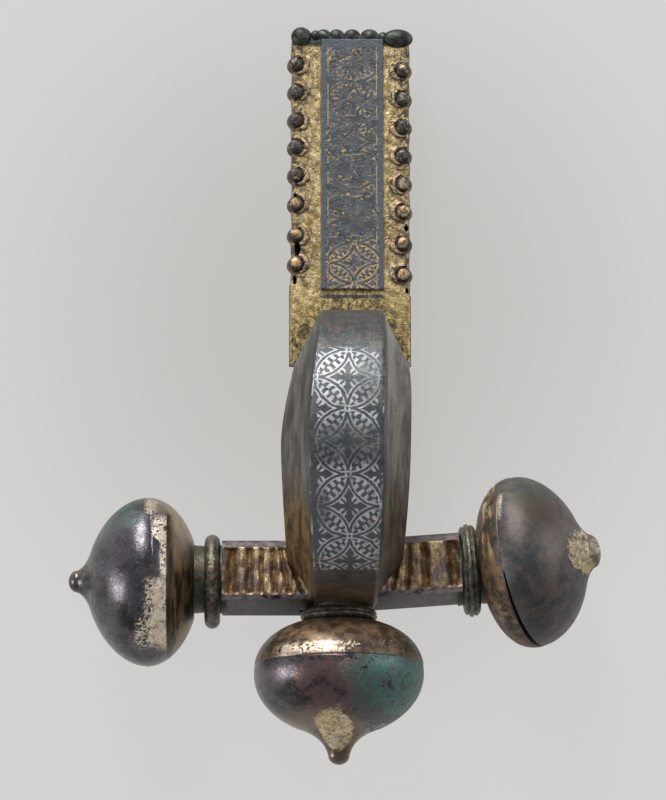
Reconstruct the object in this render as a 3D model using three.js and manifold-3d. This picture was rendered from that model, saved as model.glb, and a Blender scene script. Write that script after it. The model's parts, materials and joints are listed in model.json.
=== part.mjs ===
// A late Roman crossbow brooch (fibula) of gilded copper alloy, lying on its back.
//
// One casting carries the high bow, the long foot with its two rows of scrolls, the fluted crossbar
// and the catch sheath under the foot. Three wire rings collar its necks, three hollow onion knobs
// close them, and a pin hinged inside the crossbar swings down out of the sheath.
//
// Millimetres. In the brooch's own frame X runs along the crossbar, Y from the crossbar to the foot's
// end and Z out of its face, with the crossbar's axis at Y = Z = 0. The whole brooch is then turned
// until it lies on its two side knobs and the end of its foot, with the middle of its footprint at
// the origin.

import * as THREE from 'three';
import { mergeVertices } from 'three/addons/utils/BufferGeometryUtils.js';
import Module from 'manifold-3d';

const wasm = await Module();
wasm.setup();

const DEGREE = Math.PI / 180;
const GAP = 0.3;                      // clearance between pieces that touch
const ROUND = 32;                     // sides of a turned shape

// Crossbar: a moulded bar with a fluted face, its head side leaning out below
const bar = {
  faceBack: -2.55, faceFront: 3.3,    // edges of the fluted face, along Y
  back: -3.0, front: 4.5,             // head side and foot side, at the face
  leftLean: 1.1, rightLean: 0.7,      // how far the head side leans out below
  top: 4.4, bevel: 2.0, underBevel: 1.0,
  leftEnd: 15.1, rightEnd: 14.3,
  rightTurn: 4.2,                     // the right arm is bent towards the foot
  neckRadius: 4.3, headNeckRadius: 3.4,
};
const headNeck = { x: -0.7, z: 0.3 };   // the head's neck stands a little left of the middle and above it
// Each arm's flutes: distance from the middle, width and lean of each groove
const leftFlutes = [
  [13.4, 1.3, 0], [11.6, 0.9, 0], [10.2, 0.6, 2], [8.8, 0.8, 6], [7.6, 0.7, 13], [6.5, 0.7, 21],
];
const rightFlutes = [[13.2, 1.4, 0], [9.9, 1.2, 1], [7.8, 0.8, 7], [6.5, 0.7, 16]];

// Bow: an arch of trapezoid section, its narrow inlaid face outside
const bow = {
  headY: -3.6, footY: 33.1, apexY: 14.4, apexZ: 19.6, headZ: -1.5, footZ: 0.2,
  headPower: 2.05, footPower: 2.5,
  innerHeadY: 2.0, innerFootY: 25.0, innerApexZ: 14.2,
  faceMiddle: 9.3, faceEnd: 7.6,
  backMiddle: 16.0, backHead: 14.4, backFoot: 14.0,
  middleX: 0.0, leanStart: 13.0,      // from there on it leans over to the foot's middle line
  chamfer: 0.4, flank: 5.4,           // corners cut by chamfer, on a flank this deep
  widening: 1.6,                      // how late the face and back narrow towards the ends
  steps: 22,
};

// Foot: a flat plate with scrolled edges, a shoulder under the bow and a catch sheath beneath
const foot = {
  start: 26.0, shoulderLeft: 37.15, shoulderRight: 35.75, end: 69.3, top: 1.0, thickness: 1.8,
  shoulderHalf: 7.46, half: 7.25, middleX: 0.8,
  panelHalf: 4.0, panelStart: 36.5, panelEnd: 68.7, panelRise: 0.35,
  scrollCount: 8, scrollPitch: 3.72, firstLeft: 65.6, firstRight: 64.9,
  bossRadius: 1.08, bossX: 6.95, cordRadius: 0.42, cordReach: 1.9,
  cornerX: 6.4, cornerRadius: 1.4,
};
const endScallops = [-4.0, -2.0, 0.1, 2.3];
const sheath = { half: 4.7, wall: 1.0, lip: 0.8, start: 31.0, end: 69.0, bottom: -5.2, slotLeft: -0.9 };

// Pin: a tapered wire with an eye that turns on a rod across a slot in the crossbar
const hinge = {
  y: 1.5, z: -2.6, rodRadius: 0.6, boreRadius: 0.9, eyeRadius: 1.7, width: 1.8,
  slotWidth: 2.6, slotFront: 6.0, clearance: 0.4,
};
const pin = { radius: 0.8, tipRadius: 0.15, taperStart: 46.0, end: 63.5 };

// Rings: wire collars with two ribs each
const ring = { width: 1.8, innerRadius: 4.6, outerRadius: 5.75 };
const headRing = { width: 1.4, innerRadius: 3.7, outerRadius: 4.7 };

// Onion knobs: distances along the axis are from the widest place
const sideKnob = { radius: 10.37, back: 6.6, backPower: 2.0, neck: 4.7, front: 7.5, nipple: 0.9,
  flareStart: 6.9, flareLength: 0.85, tip: 9.6 };
const headKnob = { radius: 10.48, back: 6.9, backPower: 2.3, neck: 4.3, front: 7.7, nipple: 0.9,
  flareStart: 6.6, flareLength: 1.45, tip: 11.2 };
const rightKnob = { ...sideKnob, radius: 10.6, back: 6.0, backPower: 2.2, nipple: 1.4 };
const headKnobY = -11.8;              // its widest place
const leftKnobY = -0.3;               // the left ring and knob sit a little towards the head
const rightKnobTurn = 4.5;            // the right knob is knocked askew: towards the foot
const rightKnobLift = 8.0;            // and its tip upwards
const breakDistance = 8.7;            // its tip is broken off aslant
const slit = { width: 0.4, depth: 3.2, length: 12.0, reach: 10.6, angle: 35.0 };

// ---- solids ----

/** A closed geometry as a manifold-3d solid with its faces pointing out. */
function solid(geometry) {
  const plain = geometry.index ? geometry.toNonIndexed() : geometry.clone();
  plain.deleteAttribute('normal');
  plain.deleteAttribute('uv');
  const merged = mergeVertices(plain, 1e-4);
  const points = merged.attributes.position.array;
  const corners = merged.index.array;
  const triangles = [];
  let volume = 0;
  const [a, b, c] = [new THREE.Vector3(), new THREE.Vector3(), new THREE.Vector3()];
  for (let i = 0; i < corners.length; i += 3) {
    const [p, q, r] = [corners[i], corners[i + 1], corners[i + 2]];
    if (p === q || q === r || r === p) continue;
    triangles.push(p, q, r);
    a.fromArray(points, 3 * p);
    b.fromArray(points, 3 * q);
    c.fromArray(points, 3 * r);
    volume += a.dot(b.cross(c));
  }
  if (volume < 0) triangles.reverse();
  return new wasm.Manifold(new wasm.Mesh({
    numProp: 3, vertProperties: new Float32Array(points), triVerts: new Uint32Array(triangles),
  }));
}

function union(geometries) {
  return geometries.map(solid).reduce((whole, piece) => whole.add(piece));
}

function geometryOf(manifold) {
  const mesh = manifold.getMesh();
  const geometry = new THREE.BufferGeometry();
  geometry.setAttribute('position', new THREE.BufferAttribute(new Float32Array(mesh.vertProperties), 3));
  geometry.setIndex(new THREE.BufferAttribute(new Uint32Array(mesh.triVerts), 1));
  geometry.computeVertexNormals();
  return geometry;
}

/** A box between two corners. */
function block(low, high) {
  const size = high.map((value, i) => value - low[i]);
  const middle = high.map((value, i) => (value + low[i]) / 2);
  return new THREE.BoxGeometry(...size).translate(...middle);
}

/** A skin over rows of points, all rows alike, with flat ends. */
function loft(rows) {
  const count = rows[0].length;
  const index = [];
  for (let i = 0; i + 1 < rows.length; i += 1) {
    for (let j = 0; j < count; j += 1) {
      const [a, b] = [i * count + j, i * count + (j + 1) % count];
      index.push(a, b, b + count, a, b + count, a + count);
    }
  }
  const last = (rows.length - 1) * count;
  for (let j = 1; j + 1 < count; j += 1) {
    index.push(0, j + 1, j, last, last + j, last + j + 1);
  }
  const geometry = new THREE.BufferGeometry();
  geometry.setAttribute('position', new THREE.Float32BufferAttribute(rows.flat(2), 3));
  geometry.setIndex(index);
  return geometry;
}

// ---- crossbar ----

/** The bar's section [y, z], anticlockwise from its head side's foot. */
const barSection = (lean) => [
  [bar.back - lean, -bar.top + bar.underBevel], [bar.back - lean + bar.underBevel, -bar.top],
  [bar.front - bar.underBevel, -bar.top], [bar.front, -bar.top + bar.underBevel],
  [bar.front, bar.top - bar.bevel], [bar.faceFront, bar.top],
  [bar.faceBack, bar.top], [bar.back, bar.top - bar.faceBack + bar.back],
];

/** One arm with its neck, along +X, and the grooves cut in its face. */
function arm(length, neckEnd, lean, flutes) {
  const rows = [-2, length].map((x) => barSection(lean).map(([y, z]) => [x, y, z]));
  const neck = new THREE.CylinderGeometry(bar.neckRadius, bar.neckRadius, neckEnd - length + 1, ROUND)
    .rotateZ(90 * DEGREE).translate((neckEnd + length - 1) / 2, 0, 0);
  const grooveLength = bar.faceFront - bar.faceBack - 0.5;
  const grooveMiddle = (bar.faceFront + bar.faceBack) / 2;
  const grooves = flutes.map(([x, width, slant]) => {
    const side = width * Math.SQRT1_2;
    return new THREE.BoxGeometry(side, grooveLength, side)
      .rotateY(45 * DEGREE).rotateZ(-slant * DEGREE).translate(x, grooveMiddle, bar.top);
  });
  return solid(loft(rows)).add(solid(neck)).subtract(union(grooves));
}

// ---- bow ----

/** The eight corners of the bow's section at a turn from the head's end (-90) to the foot's (90). */
function bowSection(turn) {
  const footSide = turn > 0;
  const power = 2 / (footSide ? bow.footPower : bow.headPower);
  const along = Math.abs(Math.sin(turn)) ** power;
  const up = Math.abs(Math.cos(turn)) ** power;
  const base = footSide ? bow.footZ : bow.headZ;
  const arch = (end, apexZ) => [bow.apexY + (end - bow.apexY) * along, base + (apexZ - base) * up];
  const outer = arch(footSide ? bow.footY : bow.headY, bow.apexZ);
  const inner = arch(footSide ? bow.innerFootY : bow.innerHeadY, bow.innerApexZ);
  const ends = along ** bow.widening;
  const backEnd = footSide ? bow.backFoot : bow.backHead;
  const face = THREE.MathUtils.lerp(bow.faceMiddle, bow.faceEnd, ends) / 2;
  const back = THREE.MathUtils.lerp(bow.backMiddle, backEnd, ends) / 2;
  const lean = THREE.MathUtils.smoothstep(outer[0], bow.leanStart, bow.footY);
  const middle = THREE.MathUtils.lerp(bow.middleX, foot.middleX, lean);
  // Corner (side, depth): depth 0 on the face, 1 on the back
  const corner = (side, depth) => [
    middle + side, THREE.MathUtils.lerp(outer[0], inner[0], depth),
    THREE.MathUtils.lerp(outer[1], inner[1], depth),
  ];
  const nick = bow.chamfer;
  const share = nick / bow.flank;
  const half = [[face - nick, 0], [face + 0.1, share], [back, 1 - 2 * share], [back - 2 * nick, 1]];
  return [
    ...half.map(([side, depth]) => corner(side, depth)),
    ...half.toReversed().map(([side, depth]) => corner(-side, depth)),
  ];
}

const bowRows = Array.from({ length: bow.steps + 1 },
  (_, i) => bowSection((i / bow.steps * 180 - 90) * DEGREE));

// ---- foot ----

const footBottom = foot.top - foot.thickness;

function footPlate() {
  const outline = new THREE.Shape();
  outline.moveTo(-foot.shoulderHalf, foot.start);
  outline.lineTo(foot.shoulderHalf, foot.start);
  outline.lineTo(foot.shoulderHalf, foot.shoulderRight);
  outline.lineTo(foot.half, foot.shoulderRight);
  outline.lineTo(foot.half, foot.end);
  outline.lineTo(-foot.half, foot.end);
  outline.lineTo(-foot.half, foot.shoulderLeft);
  outline.lineTo(-foot.shoulderHalf, foot.shoulderLeft);
  return new THREE.ExtrudeGeometry(outline, { depth: foot.thickness, bevelEnabled: false })
    .translate(0, 0, footBottom);
}

/** A half round cord that bends inwards from one boss to the next. */
function scrollCord(side, y) {
  const bend = new THREE.CurvePath();
  bend.add(new THREE.EllipseCurve(side * foot.bossX, y - foot.scrollPitch / 2, foot.cordReach,
    foot.scrollPitch / 2, 90 * DEGREE, 270 * DEGREE, side < 0));
  const path = new THREE.CatmullRomCurve3(
    bend.curves[0].getPoints(6).map((point) => new THREE.Vector3(point.x, point.y, foot.top)));
  const round = new THREE.EllipseCurve(0, 0, foot.cordRadius, foot.cordRadius);
  const section = new THREE.Shape(round.getPoints(6));
  return new THREE.ExtrudeGeometry(section, { steps: 6, extrudePath: path });
}

function boss(x, y, radius) {
  return new THREE.SphereGeometry(radius, 10, 6).rotateX(90 * DEGREE).scale(1, 1, 0.8)
    .translate(x, y, (foot.top + footBottom) / 2 + 0.3);
}

function scrolls(side, first) {
  const pieces = [];
  for (let i = 0; i < foot.scrollCount; i += 1) {
    const y = first - i * foot.scrollPitch;
    pieces.push(boss(side * foot.bossX, y, foot.bossRadius));
    if (i % 2 === 0) pieces.push(scrollCord(side, y));
  }
  pieces.push(boss(side * foot.cornerX, foot.end - 0.3, foot.cornerRadius));
  return pieces;
}

function footSolid() {
  const panel = block([-foot.panelHalf, foot.panelStart, 0],
    [foot.panelHalf, foot.panelEnd, foot.top + foot.panelRise]);
  const endEdge = endScallops.map((x) => boss(x, foot.end + 0.1, 1.0));
  const outside = block([-sheath.half, sheath.start, sheath.bottom],
    [sheath.half, sheath.end, footBottom + 0.5]);
  const inside = sheath.half - sheath.wall;
  const innerEnd = [inside, sheath.end - sheath.wall, footBottom];
  const cavity = union([
    block([-inside, sheath.start - 1, sheath.bottom + sheath.lip], innerEnd),
    block([sheath.slotLeft, sheath.start - 1, sheath.bottom - 1], innerEnd),
  ]);
  const edges = [...scrolls(-1, foot.firstLeft), ...scrolls(1, foot.firstRight)];
  return union([footPlate(), panel, outside, ...edges, ...endEdge])
    .subtract(cavity)
    .translate([foot.middleX, 0, 0]);
}

// ---- knobs and rings ----

/** The outline of an onion knob: [radius, distance from the widest place towards the tip]. */
function knobProfile(shape) {
  const points = [new THREE.Vector2(0, 0)];
  const backSteps = 6;
  const backEnd = Math.acos(shape.neck / shape.radius);
  for (let i = 0; i <= backSteps; i += 1) {
    const turn = backEnd * (1 - i / backSteps);
    const power = 2 / shape.backPower;
    points.push(new THREE.Vector2(
      shape.radius * Math.cos(turn) ** power, -shape.back * Math.sin(turn) ** power));
  }
  points[0].y = points[1].y;
  const frontSteps = 6;
  for (let i = 1; i <= frontSteps; i += 1) {
    const turn = Math.asin(shape.flareStart / shape.front) * i / frontSteps;
    points.push(new THREE.Vector2(shape.radius * Math.cos(turn), shape.front * Math.sin(turn)));
  }
  const flare = points.at(-1).x - shape.nipple;
  const flareSteps = 4;
  const flareReach = shape.tip - 0.6 - shape.flareStart;
  for (let i = 1; i <= flareSteps; i += 1) {
    const s = flareReach * i / flareSteps;
    points.push(new THREE.Vector2(
      shape.nipple + flare * Math.exp(-s / shape.flareLength), shape.flareStart + s));
  }
  points.push(new THREE.Vector2(shape.nipple * 0.7, shape.tip - 0.15), new THREE.Vector2(0, shape.tip));
  return points;
}

/** A knob along +Y whose flat back is at the origin. */
function knob(shape) {
  const profile = knobProfile(shape);
  return new THREE.LatheGeometry(profile, ROUND).translate(0, -profile[0].y, 0);
}

/** A two-ribbed collar round the Y axis, its middle at the origin. */
function collar({ width, innerRadius, outerRadius }) {
  const half = width / 2;
  const [rib, waist] = [outerRadius, outerRadius - 0.3];
  const profile = [
    [innerRadius, -half], [rib - 0.35, -half], [rib, -0.65 * half], [rib, -0.35 * half], [waist, 0],
    [rib, 0.35 * half], [rib, 0.65 * half], [rib - 0.35, half], [innerRadius, half], [innerRadius, -half],
  ].map(([x, y]) => new THREE.Vector2(x, y));
  return new THREE.LatheGeometry(profile, ROUND);
}

// ---- places along the arms ----

const headRingY = bow.headY - GAP - headRing.width / 2;
const ringSpan = GAP + ring.width;
const leftNeckEnd = bar.leftEnd + ringSpan + 1.35;
const rightNeckEnd = bar.rightEnd + ringSpan + 0.8;
const headKnobBack = knobProfile(headKnob)[0].y;
const headNeckEnd = headKnobY - headKnobBack;

/** Turns a solid from the Y axis onto an arm that points along +X, at a distance from the middle. */
const ontoArm = (geometry, distance) => geometry.rotateZ(-90 * DEGREE).translate(distance, 0, 0);

// The right knob is knocked askew about the end of its neck
const askew = new THREE.Euler(0, -rightKnobLift * DEGREE, rightKnobTurn * DEGREE, 'ZYX');
const askewMatrix = new THREE.Matrix4().makeRotationFromEuler(askew)
  .setPosition(rightNeckEnd, 0, 0);
const rightArmMatrix = new THREE.Matrix4().makeRotationZ(bar.rightTurn * DEGREE);

// ---- the casting ----

function casting() {
  const leftArm = arm(bar.leftEnd, leftNeckEnd - GAP, bar.leftLean, leftFlutes).mirror([1, 0, 0]);
  // The neck's end is dressed to the askew knob's back
  const knobSpace = block([-GAP, -8, -8], [12, 8, 8]).applyMatrix4(askewMatrix);
  const rightArm = arm(bar.rightEnd, rightNeckEnd + 1, bar.rightLean, rightFlutes).subtract(solid(knobSpace))
    .rotate([0, 0, bar.rightTurn]);
  const neck = new THREE.CylinderGeometry(bar.headNeckRadius, bar.headNeckRadius, -headNeckEnd - GAP, ROUND)
    .translate(headNeck.x, (headNeckEnd + GAP) / 2, headNeck.z);
  // The bar is dressed flat behind the head's ring
  const seatRadius = headRing.outerRadius + GAP;
  const seat = new THREE.CylinderGeometry(seatRadius, seatRadius, 4, ROUND)
    .translate(headNeck.x, bow.headY - 2, headNeck.z);
  const halfSlot = hinge.slotWidth / 2;
  const eyeSpace = hinge.eyeRadius + hinge.clearance;
  const slot = block([-halfSlot, hinge.y - eyeSpace, -bar.top - 1],
    [halfSlot, hinge.slotFront, hinge.z + eyeSpace]);
  const rod = new THREE.CylinderGeometry(hinge.rodRadius, hinge.rodRadius, hinge.slotWidth + 1, 12)
    .rotateZ(90 * DEGREE).translate(0, hinge.y, hinge.z);
  return leftArm.add(rightArm)
    .subtract(solid(seat))
    .add(solid(loft(bowRows)))
    .add(solid(neck))
    .subtract(solid(slot))
    .add(solid(rod))
    .add(footSolid());
}

// ---- the pin ----

function pinSolid() {
  const eye = new THREE.Shape().absarc(0, 0, hinge.eyeRadius, 0, 360 * DEGREE);
  eye.holes.push(new THREE.Path().absarc(0, 0, hinge.boreRadius, 0, 360 * DEGREE));
  const eyeOptions = { depth: hinge.width, bevelEnabled: false, curveSegments: 10 };
  const eyeGeometry = new THREE.ExtrudeGeometry(eye, eyeOptions)
    .translate(0, 0, -hinge.width / 2).rotateY(90 * DEGREE).translate(0, hinge.y, hinge.z);
  const start = hinge.y + (hinge.eyeRadius + hinge.boreRadius) / 2;
  const wire = new THREE.LatheGeometry([
    [0, start], [pin.radius, start], [pin.radius, pin.taperStart], [pin.radius * 0.6, pin.end - 4],
    [pin.tipRadius, pin.end], [0, pin.end],
  ].map(([x, y]) => new THREE.Vector2(x, y)), 12).translate(0, 0, hinge.z);
  return union([eyeGeometry, wire]);
}

// ---- the pieces, in the brooch's own frame ----

const gilding = new THREE.MeshStandardMaterial({ color: 0x8f7a48, roughness: 0.4, metalness: 0.9 });
const darkShell = new THREE.MeshStandardMaterial({ color: 0x5b5149, roughness: 0.35, metalness: 0.8 });
const greenRing = new THREE.MeshStandardMaterial({ color: 0x55584a, roughness: 0.5, metalness: 0.7 });
const plainBronze = new THREE.MeshStandardMaterial({ color: 0x6e5a3a, roughness: 0.5, metalness: 0.8 });

const rightKnobShape = () => {
  const back = -knobProfile(rightKnob)[0].y;
  const shell = solid(ontoArm(knob(rightKnob), 0));
  const lost = new THREE.BoxGeometry(6, 8, 8).rotateY(-25 * DEGREE).rotateZ(25 * DEGREE)
    .translate(back + breakDistance + 3, 0, 0.6);
  const cut = new THREE.BoxGeometry(slit.width, slit.length, slit.depth)
    .translate(back + 0.4, 0, slit.reach).rotateX((90 - slit.angle) * DEGREE);
  return shell.subtract(solid(lost)).subtract(solid(cut));
};

const pieces = {
  brooch_casting: [casting(), gilding],
  ring_left: [solid(collar(ring).rotateZ(90 * DEGREE)
    .translate(-bar.leftEnd - GAP - ring.width / 2, leftKnobY, 0)), greenRing],
  ring_right: [solid(ontoArm(collar(ring), bar.rightEnd + GAP + ring.width / 2)
    .applyMatrix4(rightArmMatrix)), greenRing],
  ring_head: [solid(collar(headRing)
    .translate(headNeck.x, headRingY, headNeck.z)), greenRing],
  knob_left: [solid(knob(sideKnob).rotateZ(90 * DEGREE).translate(-leftNeckEnd, leftKnobY, 0)), darkShell],
  knob_right: [solid(geometryOf(rightKnobShape())
    .applyMatrix4(askewMatrix).applyMatrix4(rightArmMatrix)), darkShell],
  knob_head: [solid(knob(headKnob).rotateZ(180 * DEGREE)
    .translate(headNeck.x, headNeckEnd, headNeck.z)), darkShell],
  pin: [pinSolid(), plainBronze],
};

const meshes = Object.entries(pieces).map(([name, [manifold, material]]) => {
  const mesh = new THREE.Mesh(geometryOf(manifold), material);
  mesh.name = name;
  return mesh;
});

// ---- laid on its back ----

/** The corners of a named piece that pass a test, in the brooch's own frame. */
function cornersOf(name, test = () => true) {
  const { position } = meshes.find((mesh) => mesh.name === name).geometry.attributes;
  const corners = Array.from({ length: position.count },
    (_, i) => new THREE.Vector3().fromBufferAttribute(position, i));
  return corners.filter(test);
}

/** The turn that brings three groups of corners down onto one level plane. */
function lyingTurn(groups) {
  const turn = new THREE.Quaternion();
  for (let round = 0; round < 8; round += 1) {
    const lowest = groups.map((corners) => corners
      .map((corner) => corner.clone().applyQuaternion(turn))
      .reduce((low, corner) => (corner.z < low.z ? corner : low)));
    const normal = new THREE.Plane().setFromCoplanarPoints(...lowest).normal;
    if (normal.z < 0) normal.negate();
    turn.premultiply(new THREE.Quaternion().setFromUnitVectors(normal, new THREE.Vector3(0, 0, 1)));
  }
  return turn;
}

const brooch = new THREE.Group();
brooch.add(...meshes);
brooch.quaternion.copy(lyingTurn([
  cornersOf('knob_left'), cornersOf('knob_right'),
  cornersOf('brooch_casting', ({ y }) => y > foot.shoulderLeft),
]));
brooch.updateMatrixWorld(true);
const box = new THREE.Box3().setFromObject(brooch, true);
const middle = box.getCenter(new THREE.Vector3());
brooch.position.set(-middle.x, -middle.y, -box.min.z);

const group = new THREE.Group();
group.add(brooch);

export default group;
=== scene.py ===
import json
import math
import bpy
import numpy as np
from mathutils import Matrix


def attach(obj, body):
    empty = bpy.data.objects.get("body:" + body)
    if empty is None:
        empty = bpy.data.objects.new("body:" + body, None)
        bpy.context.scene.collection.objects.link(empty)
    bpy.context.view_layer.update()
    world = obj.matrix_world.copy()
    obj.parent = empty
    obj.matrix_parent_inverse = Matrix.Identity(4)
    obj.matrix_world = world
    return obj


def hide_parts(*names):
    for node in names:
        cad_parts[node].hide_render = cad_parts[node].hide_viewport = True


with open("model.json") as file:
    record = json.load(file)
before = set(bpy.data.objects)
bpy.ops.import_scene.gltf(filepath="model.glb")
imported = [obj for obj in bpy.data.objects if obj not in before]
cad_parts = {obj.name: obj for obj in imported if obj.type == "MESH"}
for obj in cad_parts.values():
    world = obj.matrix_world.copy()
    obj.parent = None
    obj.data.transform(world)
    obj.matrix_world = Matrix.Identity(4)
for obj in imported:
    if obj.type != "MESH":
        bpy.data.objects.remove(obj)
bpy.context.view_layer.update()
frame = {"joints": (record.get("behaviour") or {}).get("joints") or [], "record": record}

# ---- how the brooch lies ----
# The brooch is measured in millimetres from the middle of its crossbar: x along the bar, y towards
# the foot's end, z out of its face. It lies on its back, so the pin's hinge and the flat underside
# of the sheath say how it is turned and where its middle is.
HINGE_Y, HINGE_Z = 1.5, -2.6


def unit(vector):
    """The vector divided by its length."""
    return np.asarray(vector, float) / np.linalg.norm(vector)


hinge_joint = frame["joints"][0]
foot_face = frame["record"]["mounts"][0]
bar_way = -unit(hinge_joint["axis"])
foot_way = unit(np.cross(-unit(foot_face["axis"]), bar_way))
turn_to_lie = np.stack([bar_way, foot_way, np.cross(bar_way, foot_way)])
middle_place = np.array(hinge_joint["pos_m"]) - np.array([0, HINGE_Y, HINGE_Z]) / 1000 @ turn_to_lie


def laid(points):
    """Millimetres on the brooch to metres where it lies: turned, then moved to the bar's middle."""
    return points / 1000 @ turn_to_lie + middle_place


# ---- the bow ----
# The bow is the high arch that gathers the cloth under it, cast in one with the crossbar and the
# foot. Its flat face is inlaid with silver in black niello, a row of crossing circles; its flanks
# slope outwards to a broad back.
BOW_HEAD_Y, BOW_FOOT_Y, BOW_TOP_Y, BOW_TOP_Z = -3.6, 33.1, 14.4, 19.6
BOW_INNER_HEAD_Y, BOW_INNER_FOOT_Y, BOW_INNER_TOP_Z = 2.0, 25.0, 14.2
BOW_HEAD_BASE, BOW_FOOT_BASE = -1.5, 0.2
BOW_HEAD_POWER, BOW_FOOT_POWER = 2.05, 2.5
BOW_FACE, BOW_FACE_END = 9.3, 7.6
BOW_BACK, BOW_BACK_HEAD, BOW_BACK_FOOT = 16.0, 14.4, 14.0
# How far its corners are nicked, and their depths as shares of the bow's thickness
FACE_NICK, FACE_NICK_DEPTH, BACK_NICK, BACK_NICK_DEPTH = 0.2, 0.037, 0.8, 0.852
FOOT_MIDDLE_X = 0.8
INLAY_CELL, INLAY_NODE = 4.0, 26.25
INLAY_START, INLAY_END = 12.7, 42.7
# Where the inlay is worn: x, place along the face, half width, half length, softness and share lost
WORN_PATCHES = ((3.0, 38.0, 2.2, 2.8, 0.7, 0.5), (-3.3, 22.0, 1.4, 2.6, 0.6, 0.65))
# A mesh's edge that bends by more than this angle is shaded as a sharp one
SHARP_BEND = 0.8


def smooth(value, low, high):
    """0 below low, 1 above high, and a soft S between: 3 s^2 - 2 s^3."""
    s = np.clip((value - low) / (high - low), 0, 1)
    return s * s * (3 - 2 * s)


def mixed(a, b, share):
    """a at share 0, b at share 1."""
    return a + (b - a) * share


def outline(corners, counts, rounds):
    """A closed outline through corners [row, corner, xyz]: each side is cut into its count of equal
    steps, and the corners are eased by averaging each point with its two neighbours, rounds times."""
    onward = np.roll(corners, -1, 1) - corners
    ring = np.concatenate([corners[:, i:i + 1] + onward[:, i:i + 1] * (np.arange(n) / n)[None, :, None]
                           for i, n in enumerate(counts)], 1)
    for _ in range(rounds):
        ring = (np.roll(ring, 1, 1) + 2 * ring + np.roll(ring, -1, 1)) / 4
    return ring


def carried(flat, along, place):
    """A flat outline of (first, second) corners repeated at every stop along a line: place puts the
    stop and the two measures in their order."""
    return np.stack([np.stack(place(along, first, second), -1) for first, second in flat], 1)


def piece(name, body, replaced, skins, finishes):
    """One mesh from several skins. A skin is a grid of points [row, column, xyz] in millimetres, a
    like grid of the piece's own measures for its finish, the finish's number, and whether the rows
    close up too. Columns go round and open ends get a flat face. A skin whose volume, the sum of
    a . (b x c) over its corners, is negative is turned to face outwards."""
    points, own, corners, sizes, numbers = [], [], [], [], []
    first = 0
    for grid, measures, number, ring in skins:
        rows, columns = grid.shape[:2]
        flat = grid.reshape(-1, 3)
        i, j = np.meshgrid(np.arange(rows if ring else rows - 1), np.arange(columns), indexing="ij")
        below, beside = (i + 1) % rows, (j + 1) % columns
        quads = np.stack([i * columns + j, i * columns + beside,
                          below * columns + beside, below * columns + j], -1).reshape(-1, 4)
        ends = [] if ring else [np.arange(columns)[::-1], (rows - 1) * columns + np.arange(columns)]
        a, b, c, d = (flat[quads[:, k]] - flat.mean(0) for k in range(4))
        if np.sum(np.cross(b, c) * a) + np.sum(np.cross(c, d) * a) < 0:
            quads, ends = quads[:, ::-1], [end[::-1] for end in ends]
        points.append(flat)
        own.append(np.broadcast_to(measures, grid.shape).reshape(-1, 3))
        corners.append(np.concatenate([quads.ravel()] + ends) + first)
        sizes.append(np.concatenate([np.full(len(quads), 4), [len(end) for end in ends]]).astype(int))
        numbers.append(np.full(len(sizes[-1]), number))
        first += len(flat)
    points, corners, sizes = laid(np.concatenate(points)), np.concatenate(corners), np.concatenate(sizes)
    mesh = bpy.data.meshes.new(name)
    mesh.vertices.add(len(points))
    mesh.loops.add(len(corners))
    mesh.polygons.add(len(sizes))
    mesh.vertices.foreach_set("co", points.astype(np.float32).ravel())
    mesh.loops.foreach_set("vertex_index", corners.astype(np.int32))
    mesh.polygons.foreach_set("loop_start", (np.cumsum(sizes) - sizes).astype(np.int32))
    mesh.polygons.foreach_set("material_index", np.concatenate(numbers).astype(np.int32))
    mesh.polygons.foreach_set("use_smooth", np.ones(len(sizes), bool))
    mesh.update(calc_edges=True)
    mesh.set_sharp_from_angle(angle=SHARP_BEND)
    measures = mesh.attributes.new("own", "FLOAT_VECTOR", "POINT")
    measures.data.foreach_set("vector", np.concatenate(own).astype(np.float32).ravel())
    for finish in finishes:
        mesh.materials.append(finish.material)
    made = bpy.data.objects.new(name, mesh)
    bpy.context.scene.collection.objects.link(made)
    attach(made, body)
    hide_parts(replaced)


class Value:
    """A number on its way through a finish. Python's operators on it add Math nodes."""

    def __init__(self, finish, socket):
        self.finish, self.socket = finish, socket

    def __add__(self, other):
        return self.finish.maths("ADD", self, other)

    def __sub__(self, other):
        return self.finish.maths("SUBTRACT", self, other)

    def __rsub__(self, other):
        return self.finish.maths("SUBTRACT", other, self)

    def __mul__(self, other):
        return self.finish.maths("MULTIPLY", self, other)

    def __truediv__(self, other):
        return self.finish.maths("DIVIDE", self, other)

    def __abs__(self):
        return self.finish.maths("ABSOLUTE", self)

    __radd__, __rmul__ = __add__, __mul__


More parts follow.
